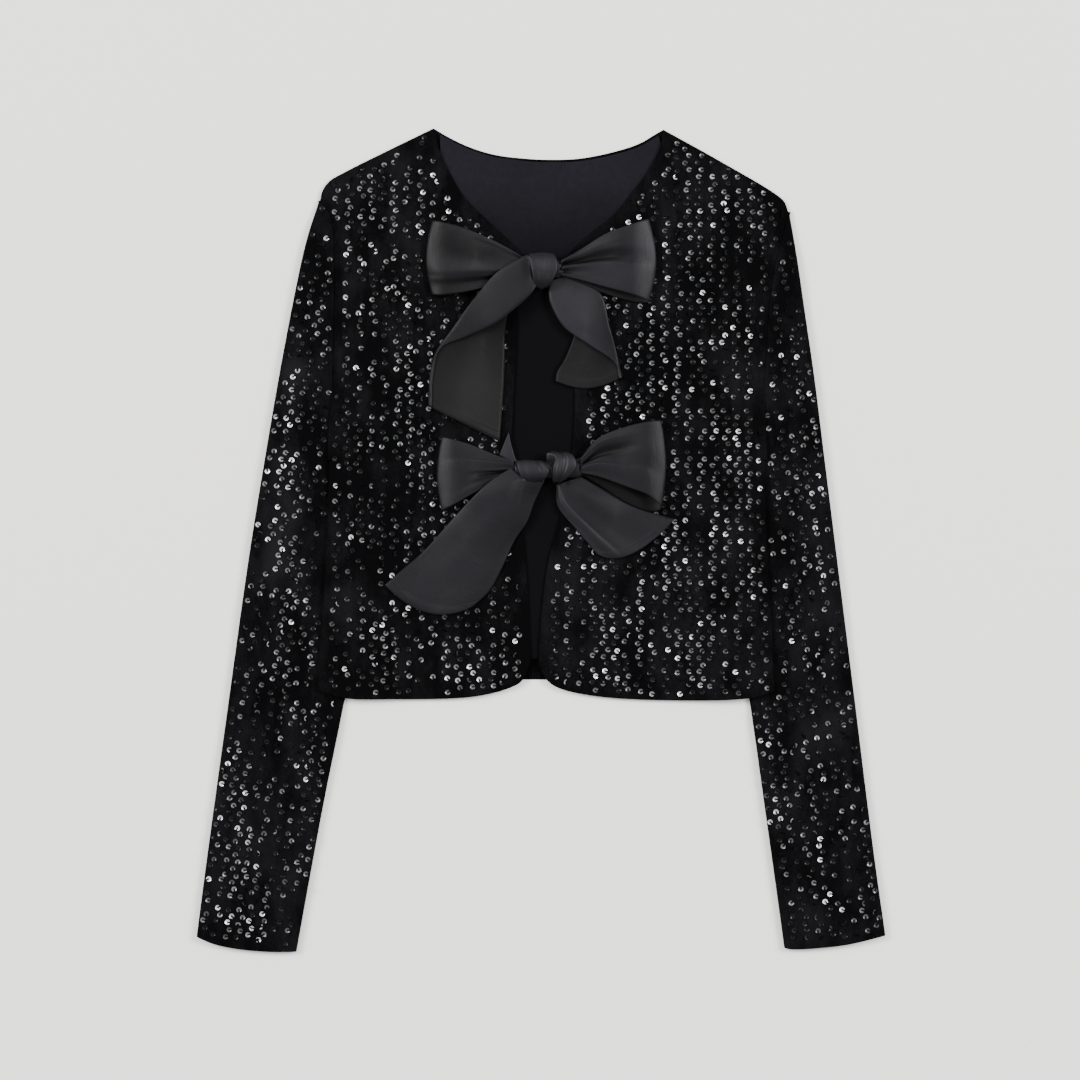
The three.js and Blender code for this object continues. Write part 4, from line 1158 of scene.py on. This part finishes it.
# Loops: rows of (x, top edge, bottom edge, height of the upper and of the lower layer), and creases as
# crease_height takes them: the upper layer is the second half of the length
# The sheen lists are broad patches of painted sheen and painted shade on the satin
LOOPS = {
    "bow_upper_loop_right": dict(
        bulge=-5, drop=0, flat=(0.062, 0.16, 0.007), seed=20,
        rows=[(-12.3, 225, 211, 6.6, 4), (-33, 237, 205, 6.8, 2.2), (-57, 248, 199, 8.2, 1.2),
              (-78, 254, 196, 9, 1.2), (-87, 256, 196, 4.2, 4.2)],
        creases=[(0.36, 0.96, 1.5, 0.34, 0.62, 0.6, 0.1, 0.3), (0.16, 0.98, -2.2, 0.14, 0.62, -0.9, 0.3, 0.1),
                 (0.99, 0.98, 0.9, 0.98, 0.8, 0.3, 0.035, 0.03),
                 (0.9, 0.98, -0.8, 0.86, 0.8, -0.3, 0.08, 0.06)],
        painted_sheen=[(0.44, 0.73, 0.16, 0.12, 0.15), (0.08, 0.74, 0.25, 0.3, -0.7), (0.75, 0.7, 0.3, 0.2, -0.5),
               (0.5, 0.53, 1.0, 0.055, -0.9), (0.97, 0.9, 0.05, 0.12, 0.7)]),
    "bow_upper_loop_left": dict(
        bulge=6, drop=5, flat=(0.062, 0.155, 0.007), seed=19,
        rows=[(14.8, 223, 212, 7.8, 4.8), (31, 232, 208, 8.6, 3.7), (52, 245, 202, 10.2, 2.6),
              (74, 253, 196, 11, 1.6), (86, 257, 193, 5.2, 5.2)],
        creases=[(0.52, 0.93, 2.3, 0.43, 0.66, 0.9, 0.3, 0.035),
                 (0.66, 0.98, -2.6, 0.54, 0.7, -1.0, 0.06, 0.2),
                 (0.3, 0.99, -1.8, 0.34, 0.955, -1.2, 0.2, 0.14),
                 (0.9, 0.97, 0.8, 0.84, 0.74, 0.3, 0.1, 0.1)],
        painted_sheen=[(0.6, 0.81, 0.13, 0.17, -0.8), (0.88, 0.83, 0.14, 0.08, 0.4), (0.84, 0.69, 0.25, 0.05, -0.35),
               (0.7, 0.58, 0.5, 0.05, 0.75), (0.22, 0.75, 0.26, 0.18, 0.38), (0.45, 0.97, 0.5, 0.04, -0.3)]),
    "bow_lower_loop_right": dict(
        bulge=-4, drop=0, flat=(0.062, 0.127, 0.0045), seed=20,
        rows=[(-20.6, 63, 54, 6.4, 3.8), (-38, 69, 46, 6.8, 2.8), (-57, 77, 36, 8.2, 1.6),
              (-71, 81, 28, 8.6, 1.2), (-79, 83, 24, 4.2, 4.2)],
        creases=[(0.78, 0.98, 1.0, 0.66, 0.68, 0.4, 0.25, 0.03),
                 (0.34, 0.95, -2.8, 0.42, 0.79, -0.6, 0.12, 0.06),
                 (0.15, 0.97, 0.8, 0.12, 0.7, 0.3, 0.1, 0.1)],
        painted_sheen=[(0.3, 0.62, 0.4, 0.07, 0.25), (0.26, 0.85, 0.18, 0.08, -0.8), (0.85, 0.72, 0.2, 0.15, -0.25),
               (0.5, 0.96, 0.6, 0.05, -0.1)]),
    "bow_lower_loop_left": dict(
        bulge=4, drop=13, flat=(0.062, 0.146, 0.0068), seed=19,
        rows=[(30.8, 65, 54, 7.8, 4.8), (46, 82, 51, 9, 4), (68, 91, 43, 10.2, 2.8), (86, 95, 36, 10.6, 1.8),
              (96, 96, 32, 5.8, 5.8)],
        creases=[(0.36, 0.97, 1.7, 0.34, 0.72, 0.6, 0.26, 0.04),
                 (0.52, 0.95, -2.8, 0.66, 0.77, -0.8, 0.1, 0.15),
                 (0.86, 0.97, 1.0, 0.88, 0.74, 0.3, 0.1, 0.1)],
        painted_sheen=[(0.62, 0.84, 0.16, 0.1, -0.8), (0.85, 0.75, 0.2, 0.2, -0.2), (0.5, 0.57, 0.6, 0.05, 0.2),
               (0.5, 0.2, 1.2, 0.4, -1.3)]),
}


QUARTERS = (0, 0.25, 0.5, 0.75, 1)


def loop_net(bulge, drop, rows):
    """A loop runs out from the knot as the lower layer, turns at the outer fold and comes back on top."""
    widths = np.linspace(0, 1, 13)
    crown = np.sin(math.pi * widths)
    x0, x1 = rows[0][0], rows[1][0]

    def layer(row, level, lowered):
        x, top, bottom, upper, lower = row
        middle = (upper + lower) / 2
        full = middle + (level - middle) * (1 - 0.2 * (1 - crown))
        low = bottom - lowered * smooth((x - x0) / (x1 - x0) - 0.5)
        z = full if level > middle else np.full(len(widths), level)
        return np.column_stack([np.full(len(widths), x), low + (top - low) * widths, z])

    x, top, bottom, upper, _ = rows[-1]
    low = bottom - drop / 2
    turn = np.column_stack([x + bulge * crown, low + (top - low) * widths, np.full(len(widths), upper)])
    flat = rows[:-1]
    return np.array([layer(r, r[4], drop) for r in flat] + [turn] + [layer(r, r[3], 0) for r in flat[::-1]])


# Tails: rows of (free edge x, y, middle or fold x, y, far edge x, y, and the heights of those three). A
# turned tail is folded over along its fold. Sag is how far the middle of its cut end curves out.
# The sheen lists are broad patches of painted sheen and painted shade on the satin
TAILS = {
    "bow_upper_tail_right": dict(
        turned=True, flat=(0.062, 0.15, 0.0084), seed=22,
        rows=[(-3.7, 202.5, -8, 226, -8, 214, 10.6, 9.8, 8.4),
              (-8.3, 196.3, -14.5, 225.5, -15, 212, 11.4, 10.6, 9.3),
              (-18, 187.2, -34, 214, -23, 199, 11.2, 10.9, 9.3),
              (-37, 173, -52, 194, -27, 180, 9.6, 9.4, 7.6),
              (-61, 162.5, -71, 169, -29, 164, 4.4, 3.4, 1.4),
              (-80.5, 153.2, -84, 150.5, -29, 146, 3.2, 2.2, 1.2),
              (-86.4, 131, -88.5, 131, -30, 120, 2.6, 1.9, 1.2),
              (-87.4, 106, -89.5, 107, -33, 79, 2.5, 1.8, 1.2)],
        creases=[(0.28, 0.05, 0.8, 0.2, 0.35, 0.2, 0.12, 0.1), (0.1, 0.05, -0.8, 0.12, 0.2, -0.2, 0.08, 0.08),
                 (0.8, 0.6, 0.3, 0.78, 0.95, 0.7, 0.14, 0.14)],
        painted_sheen=[(0.2, 0.12, 0.1, 0.06, -0.35), (0.2, 0.35, 0.2, 0.2, 0.1), (0.36, 0.3, 0.02, 0.4, 0.4),
               (0.85, 0.95, 0.4, 0.3, 0.45), (0.55, 0.6, 0.25, 0.15, -0.15)]),
    "bow_upper_tail_left": dict(
        turned=True, sag=7, flat=(0.062, 0.098, 0.0052), seed=21,
        rows=[(7, 207, 24, 214, 17, 212, 2.8, 2, 1), (6, 200, 27, 208, 18, 204, 2.8, 2, 1),
              (8, 188, 47, 197, 30, 188, 3.4, 2.2, 1), (19, 170, 54, 172, 27, 166, 4.2, 3, 1.2),
              (39, 156, 60, 151, 20, 147, 3.8, 2.6, 1.2), (58.5, 142.8, 62.5, 140, 13, 135, 3.2, 2, 1.2),
              (62, 130, 64, 129.5, 11.5, 127.5, 2.6, 1.9, 1.2)],
        creases=[(0.28, 0.05, 0.8, 0.22, 0.5, 0.4, 0.12, 0.1),
                 (0.36, 0.05, -0.7, 0.32, 0.4, -0.3, 0.06, 0.06)],
        painted_sheen=[(0.06, 0.35, 0.16, 0.4, 0.7), (0.3, 0.5, 0.1, 0.4, -0.3), (0.42, 0.88, 0.14, 0.12, 0.35),
               (0.9, 0.95, 0.3, 0.2, 0.15), (0.6, 0.72, 0.2, 0.1, -0.2)]),
    "bow_lower_tail_right": dict(
        turned=False, flat=(0.062, 0.132, 0.0071), seed=22,
        rows=[(-24, 58, -12, 50, 3, 48, 8.6, 9, 7), (-40, 48, -22, 39, -5, 31, 8.8, 9.6, 5),
              (-51, 38, -31, 26, -11, 15, 8.4, 8.2, 3), (-68, 20.5, -45, 10, -21, 0, 3.6, 5.6, 1.8),
              (-93, -7.5, -63, -16, -31.5, -23, 1.4, 4, 1.4),
              (-110, -22.5, -77, -36, -41, -40, 1.3, 2.6, 1.3),
              (-125, -35.5, -90, -58, -54, -52.5, 1.2, 1.7, 1.2)],
        creases=[(0.48, 0.02, 1.3, 0.76, 0.32, 0.2, 0.2, 0.04),
                 (0.28, 0.45, 0.2, 0.3, 0.95, 0.6, 0.25, 0.25)],
        painted_sheen=[(0.4, 0.5, 0.5, 0.5, 0.16), (0.95, 0.6, 0.15, 0.4, -0.1), (0.8, 0.06, 0.3, 0.1, -0.25)]),
    "bow_lower_tail_left": dict(
        turned=False, flat=(0.062, 0.078, 0.0036), seed=21,
        rows=[(12, 45, 19, 47, 32, 51.5, 2, 2.4, 1.2), (14, 26.5, 28, 32, 56, 38, 1.6, 4.2, 1.2),
              (29.5, 7.5, 47, 12, 82, 24.5, 1.3, 4, 1.2), (44.5, -10.5, 72, -11, 107, 17, 1.2, 2.4, 1.4)],
        creases=[(0.2, 0.03, 1.8, 0.34, 0.9, 0.9, 0.2, 0.07), (0.5, 0.1, -0.7, 0.6, 0.8, -0.4, 0.2, 0.2)],
        painted_sheen=[(0.05, 0.5, 0.2, 0.6, 0.5), (0.7, 0.9, 0.5, 0.4, 0.12)]),
}


def tail_net(turned, rows, sag=0):
    """A turned tail bends round its fold. Another tail's section is a curve through its middle."""
    bend = 1.2
    net = []
    for k, row in enumerate(rows):
        free = np.array([row[0], row[1], row[6]], float)
        fold = np.array([row[2], row[3], row[7]], float)
        far = np.array([row[4], row[5], row[8]], float)
        if turned:
            over, under = (fold + (edge - fold) * bend / np.linalg.norm(edge - fold) for edge in (free, far))
            over[2] = free[2]
            under[2] = far[2]
            hang = sag if k == len(rows) - 1 else 0
            lower = [under + (far - under) * w - [0, hang * math.sin(math.pi * w), 0] for w in QUARTERS]
            net.append([free, (over + free) / 2, over, fold, *lower])
        else:
            net.append([spline_between((0, 0.5, 1), (free, fold, far), t) for t in np.linspace(0, 1, 9)])
    return net


for name, shape in LOOPS.items():
    net = loop_net(shape["bulge"], shape["drop"], shape["rows"])
    ribbon(name, net, shape["flat"], steps=90, across=60, creases=shape["creases"], patches=shape["painted_sheen"],
           seed=shape["seed"], face_at=0.85)
for name, shape in TAILS.items():
    net = tail_net(shape["turned"], shape["rows"], shape.get("sag", 0))
    ribbon(name, net, shape["flat"], steps=80, across=48, creases=shape["creases"], patches=shape["painted_sheen"],
           seed=shape["seed"], hem=True)

# Ties: rows of (x and y on the lower edge, x and y on the upper edge, height, and how far the gathers rise
# and sink), from the front's edge into the knot
TIES = {
    "tie_upper_right": dict(
        flat=(0.018, 0.0248, 0.0002832),
        rows=[(-24, 208, -24, 226, 1.1, 0.15), (-12, 212, -12, 222, 1.1, 0.15),
              (0.8, 213, 0.8, 221, 1.1, 0.15)]),
    "tie_upper_left": dict(
        flat=(0.016, 0.0284, 0.0003116),
        rows=[(30, 210, 30, 226, 1.1, 0.15), (16, 212, 16, 222, 1.1, 0.15), (1.6, 213, 1.6, 221, 1.1, 0.15)]),
    "tie_lower_right": dict(
        flat=(0.02, 0.0354, 0.000336),
        rows=[(-33.5, 68, -25.8, 86.8, 1.6, 0), (-26.8, 64.6, -23, 74.2, 2.2, 0),
              (-17, 57, -17, 62, 1.1, 0.15),
              (3.4, 51, 3.4, 61, 1.1, 0.15)]),
    "tie_lower_left": dict(
        flat=(0.016, 0.0318, 0.0003978),
        rows=[(36, 52, 36, 68, 1.1, 0.15), (20, 51, 20, 63, 1.1, 0.15), (4.2, 51, 4.2, 61, 1.1, 0.15)]),
}


def tie_net(rows):
    net = []
    for x0, y0, x1, y1, height, gather in rows:
        net.append([(x0 + (x1 - x0) * w, y0 + (y1 - y0) * w, height + (gather if k % 2 else -gather))
                    for k, w in enumerate(QUARTERS)])
    return net


# Each tie has a broad patch of painted sheen, brightest a quarter of the way along it
for name, shape in TIES.items():
    ribbon(name, tie_net(shape["rows"]), shape["flat"], steps=24, across=16,
           patches=[(0.5, 0.25, 1.5, 0.5, 0.75)], soft=0.05)

# Knots: a core, and the wraps of ribbon that go round it. The left and right edges of each are given at five
# places from its top, over its front, to its bottom. Its reach is its top and bottom in y, its rise in z.
KNOTS = {
    "bow_upper_knot": [
        dict(left=(-13,) * 5, right=(16,) * 5, reach=(224, 209.5), rise=(3.6, 8.4),
             pleats=[(0.3, 0.5), (0.6, 0.5)]),
        dict(left=(-10.2, -9.4, -7.6, -5.6, -3.2), right=(9.7, 12.8, 13, 8.6, 2.4), reach=(230, 200.5),
             rise=(2.4, 13.2), pleats=[(0.2, -0.3), (0.62, 0.35)]),
    ],
    "bow_lower_knot": [
        dict(left=(-21,) * 5, right=(32,) * 5, reach=(63, 50), rise=(3.2, 8.2),
             pleats=[(0.3, 0.5), (0.6, 0.5)]),
        dict(left=(-20.5, -19.4, -18, -16.2, -14.6), right=(1, 3.6, 6.5, 4, 0.5), reach=(64.5, 46),
             rise=(2.4, 11.8), pleats=[(0.35, 0.4), (0.78, -0.7)]),
        dict(left=(4.2, 11, 9.6, 9.0, 9), right=(22, 27, 28, 22, 14), reach=(71, 46), rise=(2.6, 13.6),
             pleats=[(0.24, 0.7), (0.52, -0.9), (0.8, 0.4)]),
    ],
}


def wrap_shell(left, right, reach, rise, pleats):
    """One wrap: a thick band round the core, with rolled edges and pleats that run round it. pleats gives
    the place across the band and the height of each."""
    around = 96
    edge_steps = 48
    pleat_half = 0.14
    angle = np.linspace(0, 2 * math.pi, around, endpoint=False)
    from_top = np.where(angle > math.pi, 2 * math.pi - angle, angle)
    edges = []
    for row in (left, right):
        fine = spline_rows(np.array([[(k, 0, 0)] for k in row], float), edge_steps)[:, 0, 0]
        edges.append(np.interp(from_top, np.linspace(0, math.pi, edge_steps + 1), fine))
    roll = [(0.0, 0.45), (0.0, 0.8), (0.012, 0.93), (0.04, 1.0)]
    middle = list(np.linspace(0.1, 0.9, 25))
    shares = [k for k, _ in roll] + middle + [1 - k for k, _ in roll[::-1]]
    sizes = [r for _, r in roll] + [1.0] * len(middle) + [r for _, r in roll[::-1]]
    top, bottom = reach
    low, high = rise
    centre = np.array([(top + bottom) / 2, (low + high) / 2])
    half = np.array([(top - bottom) / 2, (high - low) / 2])
    points = []
    lit = []
    # Painted highlight on the wrap's top, towards the neck, and painted shade where it turns under on the
    # side towards the hem
    painted_wrap_light = 0.65 * smooth(1 - np.abs(angle - 1.2) / 1.0) - 0.3 * smooth((from_top - 2.0) / 0.4)
    for share, size in zip(shares, sizes):
        x = edges[0] + (edges[1] - edges[0]) * share
        pleat = sum(depth * smooth(1 - abs(share - at) / pleat_half) for at, depth in pleats)
        pleat = pleat * (0.7 + 0.3 * np.cos(angle * 3 + 4 * share))
        bow = size * (0.94 + 0.06 * math.sin(math.pi * share))
        y = centre[0] + (half[0] * bow + pleat) * np.cos(angle)
        z = centre[1] + (half[1] * bow + pleat) * np.sin(angle)
        base = front_top(np.column_stack([x, np.full(around, centre[0])]))
        points.append(np.column_stack([x, y, z + base]))
        # Raised pleats are painted lighter, and sunk pleats darker
        lit.append(painted_wrap_light + 0.3 * pleat)
    grid = np.array(points)
    faces = grid_faces(len(points), around, 0, True)
    caps = [list(range(around)), [(len(points) - 1) * around + k for k in range(around)][::-1]]
    along = np.cumsum([0] + [half.mean() * 2 * math.pi / around] * (around - 1))
    uv = np.stack([np.tile(along, (len(points), 1)), grid[..., 0]], axis=-1)[..., ::-1]
    return grid.reshape(-1, 3), faces, caps, uv.reshape(-1, 2), np.concatenate(lit)


def knot(name, wraps):
    points = []
    faces = []
    uv = []
    painted_lights = []
    for wrap in wraps:
        shell, quads, caps, place, lit = wrap_shell(**wrap)
        start = sum(len(k) for k in points)
        points.append(shell)
        uv.append(place)
        painted_lights.append(lit)
        faces.extend((quads + start).tolist())
        faces.extend([[k + start for k in cap] for cap in caps])
    rest(mesh_object(name + "_cloth", np.vstack(points), faces, satin, np.vstack(uv), np.concatenate(painted_lights)),
         name)


for name, wraps in KNOTS.items():
    knot(name, wraps)


def pressed(xy):
    """Which places have a ribbon lying on them."""
    hit = np.zeros(len(xy), bool)
    for shape in TAILS.values():
        free, fold, far = (np.array([row[k:k + 2] for row in shape["rows"]], float) for k in (0, 2, 4))
        for edge in (free, far):
            hit |= inside(np.vstack([edge, fold[::-1]]), xy)
    for shape in LOOPS.values():
        x, top, bottom = (np.array([row[k] for row in shape["rows"]], float) for k in range(3))
        outline = np.vstack([np.column_stack([x, top]), np.column_stack([x, bottom - shape["drop"]])[::-1]])
        hit |= inside(outline, xy)
    return hit


front_sequins("right", SIDES["right"], seed=101, missing=0.22, level=0.55, turn_mean=-0.3, turn_spread=0.9)
front_sequins("left", SIDES["left"], seed=202, missing=0.1, level=0.58, turn_mean=-0.1, turn_spread=0.35)
sleeve_sequins("right", SIDES["right"], seed=303, missing=0.2, level=0.52)
sleeve_sequins("left", SIDES["left"], seed=404, missing=0.18, level=0.5)
